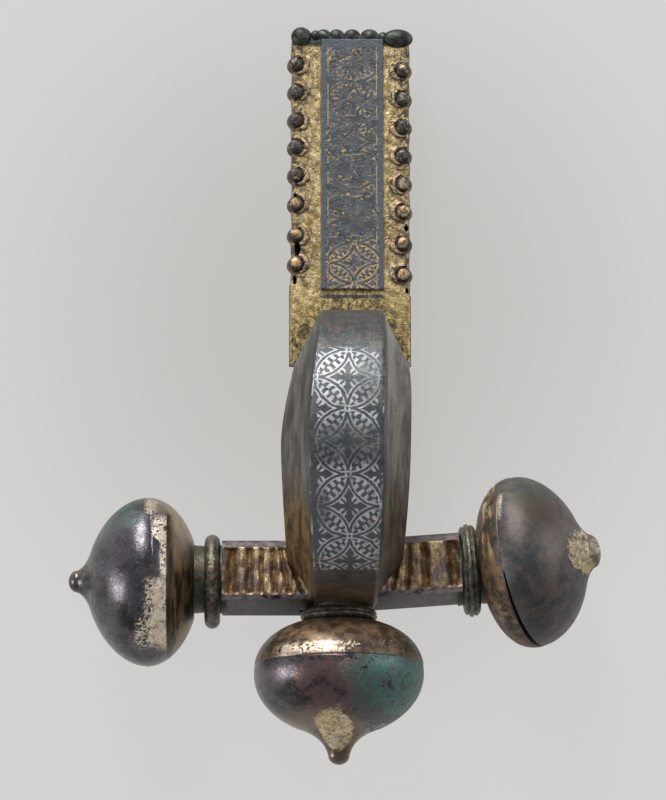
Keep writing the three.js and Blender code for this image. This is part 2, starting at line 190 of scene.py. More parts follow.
class Finish:
    """A material. node() adds any node; the other methods are the few steps that finishes share."""

    def __init__(self, name, **constants):
        self.material = bpy.data.materials.new(name)
        self.material.use_nodes = True
        self.tree = self.material.node_tree
        self.surface = self.tree.nodes["Principled BSDF"]
        for socket, value in constants.items():
            self.surface.inputs[socket.replace("_", " ")].default_value = value
        self.x, self.y, self.z = (Value(self, socket) for socket in self.node("SeparateXYZ", {}, {
            0: self.node("Attribute", {"attribute_name": "own"}).outputs["Vector"]}).outputs)
        self.where = self.node("TexCoord").outputs["Object"]

    def node(self, kind, settings=None, inputs=None):
        """A node of a kind: its settings are set first, then its sockets get values or links."""
        made = self.tree.nodes.new("ShaderNode" + kind)
        for key, value in (settings or {}).items():
            setattr(made, key, value)
        for key, value in (inputs or {}).items():
            self.feed(made.inputs[key], value)
        return made

    def feed(self, socket, value):
        """A socket gets a link from a Value or a socket, or else a plain value."""
        source = value.socket if isinstance(value, Value) else value
        if isinstance(source, bpy.types.NodeSocket):
            self.tree.links.new(source, socket)
        else:
            socket.default_value = source

    def maths(self, operation, *values):
        """A Math node's result for Values, sockets or plain numbers."""
        node = self.node("Math", {"operation": operation}, dict(enumerate(values)))
        return Value(self, node.outputs[0])

    def least(self, a, b):
        return self.maths("MINIMUM", a, b)

    def most(self, a, b):
        return self.maths("MAXIMUM", a, b)

    def step(self, value, low, high):
        """0 below low, 1 above high, a soft S between; it falls instead where low is above high."""
        down = low > high
        node = self.node("MapRange", {"interpolation_type": "SMOOTHSTEP"}, {
            "Value": value, "From Min": min(low, high), "From Max": max(low, high),
            "To Min": float(down), "To Max": float(not down)})
        return Value(self, node.outputs[0])

    def band(self, value, low, high, soft=0.05):
        """1 between low and high, with soft edges."""
        return self.step(value, low - soft, low + soft) * self.step(value, high + soft, high - soft)

    def spot(self, x, y, wide, tall, soft=0.4):
        """1 inside an ellipse about (x, y) on the first two measures, fading out over its edge."""
        across, along = (self.x - x) / wide, (self.y - y) / tall
        return self.step(across * across + along * along, 1 + soft, max(1 - soft, 0))

    def noise(self, size, detail=3.0, stretch=(1, 1, 1), own=False, seed=0.0):
        """Noise whose blotches are about size millimetres across, stretched along the axes; it reads
        Object coordinates, or the piece's own measures."""
        source = self.node("Attribute", {"attribute_name": "own"}).outputs["Vector"] if own else self.where
        scale = (1.0 if own else 1000.0) / size
        place = self.node("Mapping", {}, {"Vector": source, "Location": (seed, seed * 1.7, -seed),
                                          "Scale": tuple(scale / s for s in stretch)})
        node = self.node("TexNoise", {}, {"Vector": place.outputs[0], "Scale": 1.0, "Detail": detail,
                                          "Roughness": 0.6})
        return Value(self, node.outputs[0])

    def blend(self, share, below, above):
        """Colour below at share 0 and above at share 1. A colour is a socket, or its red, green and blue
        as the eye numbers them."""
        below, above = (shade(colour) if isinstance(colour, tuple) else colour for colour in (below, above))
        return self.node("Mix", {"data_type": "RGBA"}, {0: share, 6: below, 7: above}).outputs[2]

    def mottle(self, value, low, high, below, above, share=None):
        """Colour below where a value is under low, and above, or a share of it, where it is over high."""
        part = self.step(value, low, high)
        return self.blend(part * share if share else part, below, above)

    def done(self, colour, metallic, roughness, height, grit=0.035):
        """Feeds the surface, with a fine grain over its colour and its height in millimetres."""
        grain = self.noise(0.22, 4, seed=7.7)
        grained = self.node("Mix", {"data_type": "RGBA", "blend_type": "MULTIPLY"},
                            {0: 1.0, 6: colour, 7: grain * 1.1 + 0.45})
        self.feed(self.surface.inputs["Base Color"], grained.outputs[2])
        self.feed(self.surface.inputs["Metallic"], metallic)
        self.feed(self.surface.inputs["Roughness"], roughness + grain * 0.12 - 0.06)
        bump = self.node("Bump", {}, {"Height": height + grain * grit, "Distance": 0.001})
        self.feed(self.surface.inputs["Normal"], bump.outputs[0])
        return self


def shade(colour):
    """A colour as the eye numbers it, 0 to 255, made linear: ((c / 255 + 0.055) / 1.055) ^ 2.4."""
    return tuple(((part / 255 + 0.055) / 1.055) ** 2.4 for part in colour) + (1.0,)


def crossing_circles(f, x, y, line, shake):
    """The inlay of a row of crossing circles, 1 on its metal lines. The cell is folded to a square of
    side 1 with nodes at two opposite corners; circles of radius 1 stand on the other two. Where they
    overlap is a leaf, its teeth combed from both sides in turn; outside is a hollow sided lozenge
    with pairs of teeth, which leave a dark cross."""
    fold = abs(y / 2 - f.maths("ROUND", y / 2)) * 2
    side = f.least(abs(x), 1.0)
    first = f.maths("SQRT", side * side + (1 - fold) * (1 - fold))
    second = f.maths("SQRT", (1 - side) * (1 - side) + fold * fold)
    inside = f.least(1 - first, 1 - second)
    outlines = f.band(abs(inside), line * 1.15, line * 2.3, line * 0.35)
    along, across = side + fold, side - fold
    leaf = f.step(inside, line * 1.9, line * 2.3)
    turns = f.maths("FRACT", along * 3.2 + f.step(across, -0.01, 0.01) * 0.5 + shake)
    comb = f.step(abs(turns - 0.5), 0.2, 0.3)
    teeth = leaf * comb * f.step(abs(across + shake * 0.3), 0.01, 0.05)
    lozenge = f.step(inside, line * -1.9, line * -2.3)
    pair = f.step(abs(abs(along - 1) - 0.11), 0.07, 0.045)
    spur = pair * f.step(f.least(f.least(side, 1 - fold) + f.step(side, 0.5, 0.51),
                                 f.least(1 - side, fold) + f.step(side, 0.51, 0.5)), 0.06, 0.1)
    node = f.least(f.maths("SQRT", side * side + fold * fold),
                   f.maths("SQRT", (1 - side) * (1 - side) + (1 - fold) * (1 - fold)))
    rings = f.band(node, 0.05, 0.1, 0.015)
    return f.least(outlines * f.step(node, 0.08, 0.12) + teeth + lozenge * spur + rings, 1.0)


def bow_inlay(f, blotch, fine, bright):
    """The share of silver left on the face: the pattern within its field and a broken line along the
    rims, less a nearly bare stretch, the worn patches, the right side near the foot, and freckles."""
    shaken = (f.noise(1.1, 2, seed=6) - 0.5) * 0.35
    x = f.x - 0.45 + (f.y - 18.0) * 0.027 + shaken
    pattern = crossing_circles(f, x / INLAY_CELL, (f.y + shaken - INLAY_NODE) / INLAY_CELL, 0.036,
                               shaken * 1.6)
    half = 4.64 - (f.y - 31.0) * (f.y - 31.0) * 0.00195
    rim = f.band(abs(f.x) - half, -0.32, -0.16, 0.03) * f.step(f.noise(2.2, 3, seed=8), 0.52, 0.6)
    field = f.step(f.y, INLAY_START - 0.1, INLAY_START + 0.1) * f.step(abs(x), 4.05, 3.85)
    field = field * f.step(f.y + (blotch - 0.5) * 1.4 + (fine - 0.5) * 0.8, INLAY_END + 0.2, INLAY_END - 0.5)
    bare = f.step(f.y, 26.2, 28.6) * f.step(f.y, 33.6, 31.0)
    kept = f.step(fine * 0.7 + blotch * 0.5, 0.44, 0.62) * 0.55 + 0.45 + bright * 0.4
    kept = f.least(kept, 1.0) * (1 - bare * 0.78)
    for *patch, lost in WORN_PATCHES:
        kept = kept * (1 - f.spot(*patch) * lost)
    kept = kept * (1 - f.step(f.x, -0.6, 2.2) * f.step(f.y, 33.0, 37.0) * 0.4)
    kept = kept * (1 - f.step(f.noise(1.6, 4, seed=19), 0.56, 0.68) * 0.45)
    return f.least(pattern * field + rim * f.band(f.y, 12.7, 43.5, 0.4), 1.0) * kept


def bow_face(f, blotch, fine, silver, bright):
    """The face's colour: niello, plain metal beyond the inlay's end, copper brown with bright scratches
    at the head, and the silver over them. Niello and silver are painted lighter on the lower stretch
    towards the head: painted light."""
    niello = f.mottle(blotch, 0.42, 0.62, (60, 64, 70), (90, 87, 87))
    # Painted light: the niello is painted lighter on the face's lower stretch, towards the head.
    niello = f.mottle(f.y, 28.0, 24.0, niello, (122, 122, 126), 0.65)
    niello = f.mottle(fine, 0.5, 0.7, niello, (112, 110, 108), 0.5)
    plain = f.mottle(fine * 0.6 + blotch * 0.6, 0.5, 0.7, (60, 60, 63), (96, 90, 88))
    plain = f.mottle(f.noise(1.2, 4, seed=18), 0.58, 0.66, plain, (96, 72, 62), 0.6)
    colour = f.mottle(f.y + (blotch - 0.5) * 2.0, INLAY_END - 0.6, 43.2, niello, plain)
    copper = f.noise(0.5, 3, (7, 1, 1), own=True, seed=4)
    head = f.mottle(copper, 0.36, 0.66, (124, 104, 86), (180, 148, 110))
    slate = f.mottle(blotch, 0.4, 0.6, (92, 94, 102), (122, 120, 124))
    head = f.mottle(f.y + (copper - 0.5) * 3.0, 8.4, 10.6, head, slate, 0.8)
    scratches = f.band(f.y, 8.7, 12.4, 0.5) * f.step(copper + fine * 0.25, 0.74, 0.8)
    head_start = f.y + (fine - 0.5) * 1.2 + (blotch - 0.5) * 1.0
    colour = f.mottle(head_start, INLAY_START + 0.3, INLAY_START - 0.5,
                      colour, f.blend(scratches, head, (186, 150, 110)))
    # In the bright spot the silver is painted a shade lighter: a painted highlight.
    metal = f.blend(bright, (196, 198, 204), (200, 202, 208))
    # Painted light: the silver is painted brighter on the face's lower stretch, towards the head.
    metal = f.mottle(f.y, 30.0, 25.0, metal, (238, 239, 244))
    flecks = f.band(f.y, 12.3, 14.8, 0.5) * f.step(fine + abs(f.x) * 0.025, 0.62, 0.68)
    return f.blend(flecks, f.blend(silver, colour, metal), (188, 148, 104))


def bow_flank(f, streak, golden, sheltered):
    """The flanks' colour: pewter grey streaks, darker on the left as painted shade, with a pale strip near
    the foot on the right, brown gilding near the head, and a dull back."""
    left = f.step(f.x, 0.3, -0.3)
    flank = f.mottle(streak, 0.36, 0.64, (78, 74, 68), (122, 116, 108))
    # Painted shade: the left flank's streaks are painted darker.
    flank = f.blend(left * 0.75, flank, f.mottle(streak, 0.36, 0.66, (46, 47, 44), (92, 84, 76)))
    flank = f.mottle(f.noise(1.0, 4, (1, 4, 1), own=True, seed=9), 0.56, 0.66, flank, (60, 66, 62), 0.7)
    strip = f.band(f.z, 0.05, 0.3, 0.06) * f.step(f.y, 33.0, 38.0) * (1 - left)
    flank = f.blend(strip * 0.6, flank, (152, 148, 142))
    gilt = f.mottle(f.noise(0.6, 4, (1, 6, 1), own=True, seed=14), 0.4, 0.6, (84, 64, 42), (148, 118, 78))
    flank = f.blend(golden * (0.3 + left * 0.6), flank, gilt)
    flank = f.blend((1 - left) * f.step(f.y, 15.0, 11.0) * 0.5, flank, (66, 62, 56))
    return f.blend(sheltered * 0.7, flank, (60, 56, 46))


def bow_finish():
    """Niello with worn silver on the face, gilding and grey metal on the flanks, green along the edges
    between. Its measures: across, along the face from the head, and 0 on the face to 1 on the back."""
    f = Finish("silver_and_niello")
    cloud, blotch, fine = f.noise(5.0, 3, seed=1), f.noise(1.8, 4, seed=2), f.noise(0.45, 4, seed=5)
    streak = f.noise(0.55, 5, (1, 14, 1), own=True, seed=3)
    face = f.step(f.z, 0.03, 0.012)
    golden = f.step(f.y + (cloud - 0.5) * 16, 27.0, 17.0)
    sheltered = f.step(f.z, 0.8, 0.95)
    # The bright spot at the inlay's upper left keeps more silver, and the silver there is painted a shade
    # lighter, a painted highlight.
    bright = f.spot(-2.4, 39.5, 2.6, 3.4, 0.9)
    silver = bow_inlay(f, blotch, fine, bright)
    colour = f.blend(face, bow_flank(f, streak, golden, sheltered), bow_face(f, blotch, fine, silver, bright))
    edge = f.band(f.z, 0.0, 0.085, 0.02)
    green = edge * f.step(f.noise(1.3, 4, seed=17) + fine * 0.2, 0.6, 0.72)
    colour = f.blend(green * 0.6, f.blend(edge * 0.55, colour, (56, 58, 58)), (56, 82, 74))
    shine = f.most(silver, (1 - face) * golden * 0.6)
    rough = 0.36 + fine * 0.16 + silver * 0.08 + sheltered * 0.15
    height = fine * 0.03 + streak * 0.05 * (1 - face) + silver * 0.015 + blotch * 0.03
    return f.done(colour, 0.5 + shine * 0.12, rough, height)


def bow_curve(turn):
    """The bow's line at a turn from the head (-90 degrees) to the foot (90): outer y and z, inner y
    and z, and how late it narrows. Each is a superellipse, |sin|^(2/p) along and |cos|^(2/p) up."""
    foot_side = turn > 0
    power = 2 / np.where(foot_side, BOW_FOOT_POWER, BOW_HEAD_POWER)
    along, up = np.abs(np.sin(turn)) ** power, np.abs(np.cos(turn)) ** power
    base = np.where(foot_side, BOW_FOOT_BASE, BOW_HEAD_BASE)
    outer = np.where(foot_side, BOW_FOOT_Y, BOW_HEAD_Y)
    inner = np.where(foot_side, BOW_INNER_FOOT_Y, BOW_INNER_HEAD_Y)
    return np.stack([mixed(BOW_TOP_Y, outer, along), mixed(base, BOW_TOP_Z, up),
                     mixed(BOW_TOP_Y, inner, along), mixed(base, BOW_INNER_TOP_Z, up), along ** 1.6], -1)


def bow_skin(stations=270):
    """Stations at equal steps along the face, from just above the pin's slot; at each the outline of
    face, flank, back and flank, its corners nicked, as (half width, depth) of the eight corners."""
    turns = np.radians(np.linspace(-90, 90, 4001))
    line = bow_curve(turns)
    arc = np.concatenate([[0], np.cumsum(np.hypot(np.diff(line[:, 0]), np.diff(line[:, 1])))])
    top = len(turns) // 2
    stops = np.linspace(np.interp(0.5, line[:top, 1], arc[:top]), arc[-1] - 0.2, stations)
    y, z, back_y, back_z, ends = bow_curve(np.interp(stops, arc, turns)).T
    face = mixed(BOW_FACE, BOW_FACE_END, ends) / 2
    back = mixed(BOW_BACK, np.where(stops > arc[top], BOW_BACK_FOOT, BOW_BACK_HEAD), ends) / 2
    middle = mixed(0.0, FOOT_MIDDLE_X, smooth(y, 13.0, BOW_FOOT_Y))
    half = [(face - FACE_NICK, 0.0), (face + 0.05, FACE_NICK_DEPTH),
            (back, BACK_NICK_DEPTH), (back - BACK_NICK, 1.0)]
    sides = half + [(-side, depth) for side, depth in half[::-1]]
    counts = [3, 26, 4, 16, 4, 26, 3, 40]
    corners = np.stack([np.stack([middle + side, mixed(y, back_y, depth), mixed(z, back_z, depth)], -1)
                        for side, depth in sides], 1)
    own = np.stack([np.stack([side, stops, np.full(stations, depth)], -1) for side, depth in sides], 1)
    return outline(corners, counts, 2), outline(own, counts, 0)


piece("bow", "brooch", "brooch_casting", [(*bow_skin(), 0, False)], [bow_finish()])

# ---- the crossbar ----
# The crossbar holds the pin's hinge and carries three necks for the knobs. Its face is fluted, the
# ribs fanning out towards the bow; it was gilded, and the gilding is left on the ribs. The right
# arm is bent a little towards the foot.
BAR_LEFT_END, BAR_RIGHT_END, BAR_TURN = 15.1, 14.3, math.radians(4.2)
BAR_FACE_BACK, BAR_FACE_FRONT, BAR_FACE_Z = -2.55, 3.3, 4.4
NECK_RADIUS, HEAD_NECK_RADIUS, NECK_WAIST = 4.3, 3.4, 0.18
ROD_RADIUS, ROD_HALF = 0.6, 1.8
HEAD_NECK_X, HEAD_NECK_Z = -0.7, 0.3
# Each arm's flutes: distance from the middle, width and lean
LEFT_FLUTES = ((13.9, 1.7, 0), (11.7, 1.0, 0), (10.25, 0.6, 1), (8.7, 0.85, 4), (7.35, 0.8, 12),
               (6.2, 0.7, 21))
RIGHT_FLUTES = ((13.4, 1.7, 0), (9.9, 1.25, 1), (7.8, 0.85, 7), (6.4, 0.7, 16))
GAP = 0.3
RING_WIDTH, HEAD_RING_WIDTH = 1.8, 1.4
LEFT_NECK_END = BAR_LEFT_END + GAP + RING_WIDTH + 1.35
RIGHT_NECK_END = BAR_RIGHT_END + GAP + RING_WIDTH + 0.8
LEFT_KNOB_Y, HEAD_KNOB_Y = -0.3, -11.8


def bar_finish():
    """Worn gilding: pale on the ribs, brown in the flutes, grey on the sides. Its measures are the
    straight arm's x and y, and its height after the flutes are cut."""
    f = Finish("worn_gilding")
    fine, blotch = f.noise(0.35, 4, seed=3), f.noise(1.3, 4, seed=7)
    face = f.band(f.y, BAR_FACE_BACK, BAR_FACE_FRONT, 0.12) * f.step(f.z, 3.2, 3.5)
    patch = f.noise(2.0, 4, (1, 2, 1), own=True, seed=8)
    sunk = f.step(f.z + (fine - 0.5) * 0.25, BAR_FACE_Z - 0.1, BAR_FACE_Z - 0.42)
    rib = f.mottle(blotch, 0.38, 0.6, (136, 112, 92), (206, 182, 142))
    rib = f.mottle(patch, 0.5, 0.62, rib, (122, 108, 108), 0.8)
    rib = f.mottle(fine, 0.54, 0.66, rib, (112, 98, 92), 0.7)
    hollow = f.mottle(blotch * 0.6 + fine * 0.4, 0.42, 0.58, (88, 66, 44), (142, 108, 68))
    hollow = f.mottle(patch, 0.54, 0.64, hollow, (84, 82, 88), 0.7)
    colour = f.blend(sunk, rib, hollow)
    side = f.mottle(blotch, 0.38, 0.62, (54, 49, 48), (84, 76, 72))
    side = f.mottle(patch, 0.5, 0.62, side, (70, 66, 54), 0.6)
    front = f.step(f.y, BAR_FACE_FRONT - 0.1, BAR_FACE_FRONT + 0.25) * f.step(f.z, 2.2, 3.4)
    side = f.blend(front, side, f.mottle(fine * 0.4 + blotch * 0.6, 0.42, 0.6, (84, 76, 76), (142, 130, 126)))
    colour = f.blend(face, side, colour)
    edge = f.band(f.y, BAR_FACE_BACK - 0.5, BAR_FACE_BACK + 0.1, 0.1) * f.step(f.z, 3.2, 3.9)
    colour = f.blend(edge * f.step(blotch, 0.36, 0.56) * 0.85, colour, (158, 146, 148))
    teal = f.step(f.noise(0.8, 4, seed=12), 0.54, 0.64) * (f.step(f.x, 13.4, 14.6) * 0.7 + 0.2)
    colour = f.blend(teal, colour, (64, 82, 80))
    shine = face * (1 - sunk * 0.6) * (1 - teal)
    return f.done(colour, 0.5 + shine * 0.42, 0.42 - shine * 0.05 + fine * 0.12, fine * 0.07 + blotch * 0.05)


def neck_finish():
    """Bronze under a thin blue green crust, with brown and gold showing through."""
    f = Finish("green_bronze")
    fine, blotch = f.noise(0.4, 4, seed=21), f.noise(0.9, 4, seed=22)
    colour = f.mottle(blotch, 0.46, 0.6, (72, 60, 44), (58, 74, 70))
    colour = f.mottle(fine, 0.54, 0.66, colour, (128, 112, 82), 0.7)
    return f.done(colour, 0.6, 0.44, fine * 0.08)


def about_z(points, turn):
    """Points turned about z by an angle, by its cosine and sine."""
    c, s = math.cos(turn), math.sin(turn)
    return points @ np.array([[c, s, 0], [-s, c, 0], [0, 0, 1]])


def turned(radii, places, count=96):
    """A skin turned round the x axis: at place x a circle of radius r, (x, r cos, r sin)."""
    turn = np.linspace(0, 2 * np.pi, count, endpoint=False)
    radii, places = np.asarray(radii, float)[:, None], np.asarray(places, float)[:, None]
    return np.stack([places + 0 * turn, radii * np.cos(turn), radii * np.sin(turn)], -1)


def arm(length, lean, way, bend, flutes):
    """One arm: the bar's outline carried along x from the middle, its back leaning out below. Each
    flute is cut by half a cosine wave across its width, less and less towards the face's two edges.
    way is -1 for the left arm."""
    flat = [(-3.0 - lean, -3.4), (-2.0 - lean, -4.4), (3.5, -4.4), (4.5, -3.4), (4.5, 2.4),
            (BAR_FACE_FRONT, BAR_FACE_Z), (BAR_FACE_BACK, BAR_FACE_Z), (-3.0, 3.95)]
    corners = carried(flat, np.linspace(0, length, 260), lambda x, y, z: (x, 0 * x + y, 0 * x + z))
    grid = outline(corners, [3, 14, 3, 12, 8, 40, 2, 20], 1)
    x, y, z = np.moveaxis(grid, -1, 0)
    reach = smooth(y, -2.6, -2.2) * (1 - smooth(y, 3.0, 3.4)) * (z > 3.0)
    for place, width, slant in flutes:
        from_line = (x - place) * math.cos(math.radians(slant)) - (y - 0.4) * math.sin(math.radians(slant))
        wave = 0.5 + 0.5 * np.cos(np.pi * np.clip(from_line / (width * 0.72), -1, 1))
        z = z - (0.18 + 0.27 * width) * wave * reach
    z = z - 0.06 * reach * np.sin(y * 2.1 + x * 5.0) * np.sin(x * 1.7)
    # Dressed flat behind the head's ring, and slotted underneath for the pin's eye
    by_ring = (np.hypot(way * x - HEAD_NECK_X, z - HEAD_NECK_Z) < 5.0) & (y < BOW_HEAD_Y)
    y = np.where(by_ring, BOW_HEAD_Y, y)
    z = np.where((x < 1.3) & (z < -0.5) & (y > -0.6), -0.5, z)
    grid = np.stack([x, y, z], -1)
    return about_z(grid * [way, 1, 1], bend), grid


def neck(start, end, radius):
    """A neck: a turned skin, a little waisted, by a half sine wave."""
    share = np.linspace(0, 1, 40)
    return turned(radius - NECK_WAIST * np.sin(np.pi * share), mixed(start, end, share))


left_arm, left_own = arm(BAR_LEFT_END, 1.1, -1, 0.0, LEFT_FLUTES)
right_arm, right_own = arm(BAR_RIGHT_END, 0.7, 1, BAR_TURN, RIGHT_FLUTES)
left_neck = neck(BAR_LEFT_END - 0.5, LEFT_NECK_END + 0.5, NECK_RADIUS) * [-1, 1, 1]
right_neck = about_z(neck(BAR_RIGHT_END - 0.5, RIGHT_NECK_END + 0.5, NECK_RADIUS), BAR_TURN)
head_neck = about_z(neck(1.0, 5.8, HEAD_NECK_RADIUS), -math.pi / 2) + [HEAD_NECK_X, 0, HEAD_NECK_Z]
rod = turned([ROD_RADIUS, ROD_RADIUS], [-ROD_HALF, ROD_HALF], 24) + [0, HINGE_Y, HINGE_Z]
piece("crossbar", "brooch", "brooch_casting",
      [(left_arm, left_own, 0, False), (right_arm, right_own, 0, False), (left_neck, left_neck, 1, False),
       (right_neck, right_neck, 1, False), (head_neck, head_neck, 1, False), (rod, rod, 1, False)],
      [bar_finish(), neck_finish()])

# ---- the foot ----
# The foot is a flat bar with the pin's sheath beneath it. Cast bosses and C shaped scrolls stand
# along both edges, and a raised panel between them is inlaid with niello and gold, now mostly worn
# off. The rest is gilded and pitted.
LEFT_BOSSES = (65.43, 61.8, 58.17, 54.68, 51.08, 47.35, 43.37, 39.66)
RIGHT_BOSSES = (64.68, 60.92, 57.3, 53.56, 49.95, 46.35, 42.25, 38.29)
LEFT_BOSS_X, RIGHT_BOSS_X, BOSS_RADIUS = -6.92, 6.64, 0.97
FOOT_START, FOOT_END, FOOT_TOP, FOOT_BOTTOM = 26.9, 69.3, 1.0, -0.8
PANEL_X, PANEL_HALF, PANEL_START, PANEL_END = 0.2, 3.95, 36.4, 68.7
PANEL_RISE, BOSS_RISE, DISC_RISE, CORD_RISE, DISC_RADIUS = 0.35, 0.62, 0.3, 0.08, 1.3
FOOT_NODE, FOOT_CELL_X, FOOT_CELL_Y = 52.75, 3.35, 2.6
# Where the openwork is pierced or its edge notched: x, y, half width and half length
PIERCED = ((-6.65, 41.6, 0.33, 0.85), (6.95, 44.3, 0.2, 0.42), (-6.95, 48.5, 0.2, 0.22),
           (-7.0, 37.6, 0.2, 0.5), (7.0, 36.3, 0.17, 0.3))
SHEATH_START, SHEATH_LAST, SHEATH_END = 31.0, 68.0, 69.0
SHEATH_HALF, SHEATH_INNER, SHEATH_SLIT = 4.7, 3.7, -0.9
SHEATH_TOP, SHEATH_ROOF, SHEATH_FLOOR, SHEATH_BOTTOM = -0.3, -0.8, -4.4, -5.2


def foot_finish():
    """Gilding with dark pits, a niello panel with worn gold lines, and dark patina round the scrolls.
    Its measures: x from the foot's middle, y, and the relief: a boss's height, less a scroll's, and
    far below 0 on the edge and underneath."""
    f = Finish("foot_gilding")
    fine, blotch, cloud = f.noise(0.3, 4, seed=31), f.noise(1.2, 4, seed=32), f.noise(3.5, 3, seed=30)
    pits = f.noise(0.5, 5, seed=33)
    gold = f.mottle(blotch * 0.7 + cloud * 0.3, 0.4, 0.6, (130, 112, 76), (182, 163, 118))
    gold = f.mottle(fine, 0.5, 0.66, gold, (200, 184, 150), 0.7)
    gold = f.mottle(f.noise(1.5, 4, seed=29), 0.56, 0.68, gold, (126, 94, 80), 0.5)
    gold = f.mottle(pits + blotch * 0.3, 0.76, 0.86, gold, (70, 60, 46), 0.9)
    shelter = f.step(f.y + abs(f.x) * 0.9 + (blotch - 0.5) * 4.0, 41.0, 35.5)
    gold = f.mottle(f.y, 37.0, 34.0, gold, (154, 134, 78), 0.4)
    scratch = f.noise(0.5, 4, (1, 3, 1), seed=28)
    gold = f.blend(shelter * f.step(pits * 0.5 + scratch * 0.6, 0.5, 0.6) * 0.85, gold, (62, 55, 40))
    dark = f.mottle(fine, 0.4, 0.6, (46, 44, 42), (84, 76, 70))
    # The scrolls and bosses
    boss, scroll = f.step(f.z, 0.02, 0.1), f.step(f.z, -0.05, -0.11) * f.step(f.z, -3.0, -2.5)
    worn = f.step(f.y + (cloud - 0.5) * 18, 52.0, 47.0)
    flat_top = f.step(f.z + (blotch - 0.5) * 0.5 + (fine - 0.5) * 0.3, 0.46, 0.54) * worn
    flat_top = f.most(flat_top, boss * f.step(fine * 0.6 + blotch * 0.5, 0.6, 0.68) * 0.6)
    rubbed = f.mottle(fine * 0.5 + blotch * 0.5, 0.44, 0.56, (112, 92, 66), (182, 154, 116))
    relief = f.blend(flat_top, dark, rubbed)
    scroll_gold = f.step(f.z, -0.13, -0.24) * f.step(fine * 0.7 + blotch * 0.5, 0.52, 0.62)
    relief = f.blend(scroll_gold, relief, f.blend(fine, (140, 110, 88), (196, 172, 138)))
    halo = f.step(abs(f.x), 3.9, 6.6) * f.step(f.noise(0.7, 4, seed=36) + abs(f.x) * 0.035, 0.7, 0.76)
    colour = f.blend(halo * f.step(f.y, 36.0, 38.0) * 0.8, gold, dark)
    colour = f.blend(f.most(boss, scroll * 0.85), colour, relief)
    last = f.blend(fine, (46, 51, 51), (76, 76, 78))
    colour = f.mottle(f.y + (blotch - 0.5) * 0.6, 67.6, 68.0, colour, last)
    # The panel
    panel_x = f.x - PANEL_X
    in_x = abs(panel_x)
    panel = f.step(in_x, PANEL_HALF, PANEL_HALF - 0.1) * f.band(f.y, PANEL_START, PANEL_END, 0.08)
    bars = f.most(f.step(in_x, 3.25, 3.35), f.step(f.y, 67.5, 67.65))
    niello = f.mottle(blotch, 0.4, 0.6, (60, 65, 73), (82, 86, 92))
    niello = f.mottle(f.noise(0.6, 4, seed=35), 0.52, 0.64, niello, (74, 73, 58), 0.75)
    niello = f.mottle(f.noise(0.5, 4, seed=34), 0.58, 0.68, niello, (112, 98, 86), 0.45)
    shaken = (f.noise(0.8, 2, seed=37) - 0.5) * 0.3
    lines = crossing_circles(f, (panel_x + shaken) / FOOT_CELL_X - 0.06,
                             (f.y + shaken - FOOT_NODE) / FOOT_CELL_Y, 0.05, shaken)
    side_lines = f.band(in_x, 2.98, 3.12, 0.04) * f.step(f.noise(1.8, 3, seed=27), 0.46, 0.54)
    from_rung = abs(f.maths("FRACT", (f.y + shaken * 2.2) / FOOT_CELL_Y / 2 + 0.2) - 0.5)
    rungs = f.band(from_rung, 0.0, 0.018, 0.01) * f.step(f.noise(1.1, 4, (2, 1, 1), seed=26), 0.5, 0.58)
    left_over = f.step(f.noise(1.5, 4, seed=38) * 0.8 + fine * 0.5, 0.64, 0.8) * 0.85
    left_over = f.least(left_over + f.step(f.y, 43.0, 41.0) * f.step(fine, 0.34, 0.5) * 0.6, 1.0)
    inlay = f.most(lines * left_over, f.most(side_lines, rungs) * 0.7) * (1 - bars)
    flecks = f.step(f.noise(0.3, 2, seed=39), 0.62, 0.7) * (1 - bars) * 0.4
    gold_lines = f.mottle(blotch, 0.4, 0.6, (180, 158, 106), (168, 144, 118))
    field = f.blend(f.most(inlay, flecks), niello, gold_lines)
    field = f.blend(bars, field, f.blend(fine, (66, 71, 78), (90, 96, 102)))
    colour = f.blend(panel, colour, field)
    gutter = f.band(f.y, 35.3, 35.75, 0.06) * f.band(f.x, -3.8, 4.1, 0.3) * f.step(fine, 0.26, 0.44)
    colour = f.blend(gutter * 0.9, colour, (62, 66, 68))
    # The pierced holes and notches, which the mesh only dents, are painted nearly black: painted shade inside
    # them.
    gap = f.spot(*PIERCED[0], 0.25)
    for place in PIERCED[1:]:
        gap = f.most(gap, f.spot(*place, 0.35))
    colour = f.blend(gap, colour, (12, 10, 8))
    edge = f.step(f.z, -3.0, -4.5)
    colour = f.blend(edge, colour, f.mottle(blotch, 0.4, 0.6, (58, 52, 38), (112, 98, 66)))
    ground = (1 - panel) * (1 - f.most(boss, scroll) * 0.6) * (1 - edge * 0.4)
    rough = 0.42 + fine * 0.14 - ground * 0.02 - boss * 0.1
    height = f.step(pits, 0.72, 0.45) * 0.04 * (1 - panel * 0.6) + fine * 0.04 - lines * panel * 0.006
    return f.done(colour, (0.45 + ground * 0.4) * (1 - gap), rough, height)


def sheath_finish():
    """Brown bronze with dark green in its hollows."""
    f = Finish("brown_bronze")
    fine, blotch = f.noise(0.5, 4, seed=41), f.noise(2.0, 4, seed=42)
    colour = f.mottle(blotch, 0.38, 0.62, (60, 52, 44), (104, 88, 62))
    colour = f.mottle(fine + blotch * 0.4, 0.72, 0.8, colour, (62, 78, 68))
    return f.done(colour, 0.6, 0.42 + fine * 0.12, fine * 0.05)


def end_knob_finish():
    """Dark patina with a fleck of gold left, on the small knobs at the foot's end."""
    f = Finish("dark_patina")
    fine, blotch = f.noise(0.3, 4, seed=44), f.noise(0.9, 4, seed=45)
    colour = f.mottle(blotch, 0.42, 0.6, (40, 40, 38), (62, 70, 64))
    colour = f.mottle(fine + blotch * 0.5, 0.9, 0.98, colour, (150, 128, 92))
    return f.done(colour, 0.55, 0.34 + fine * 0.1, fine * 0.05)


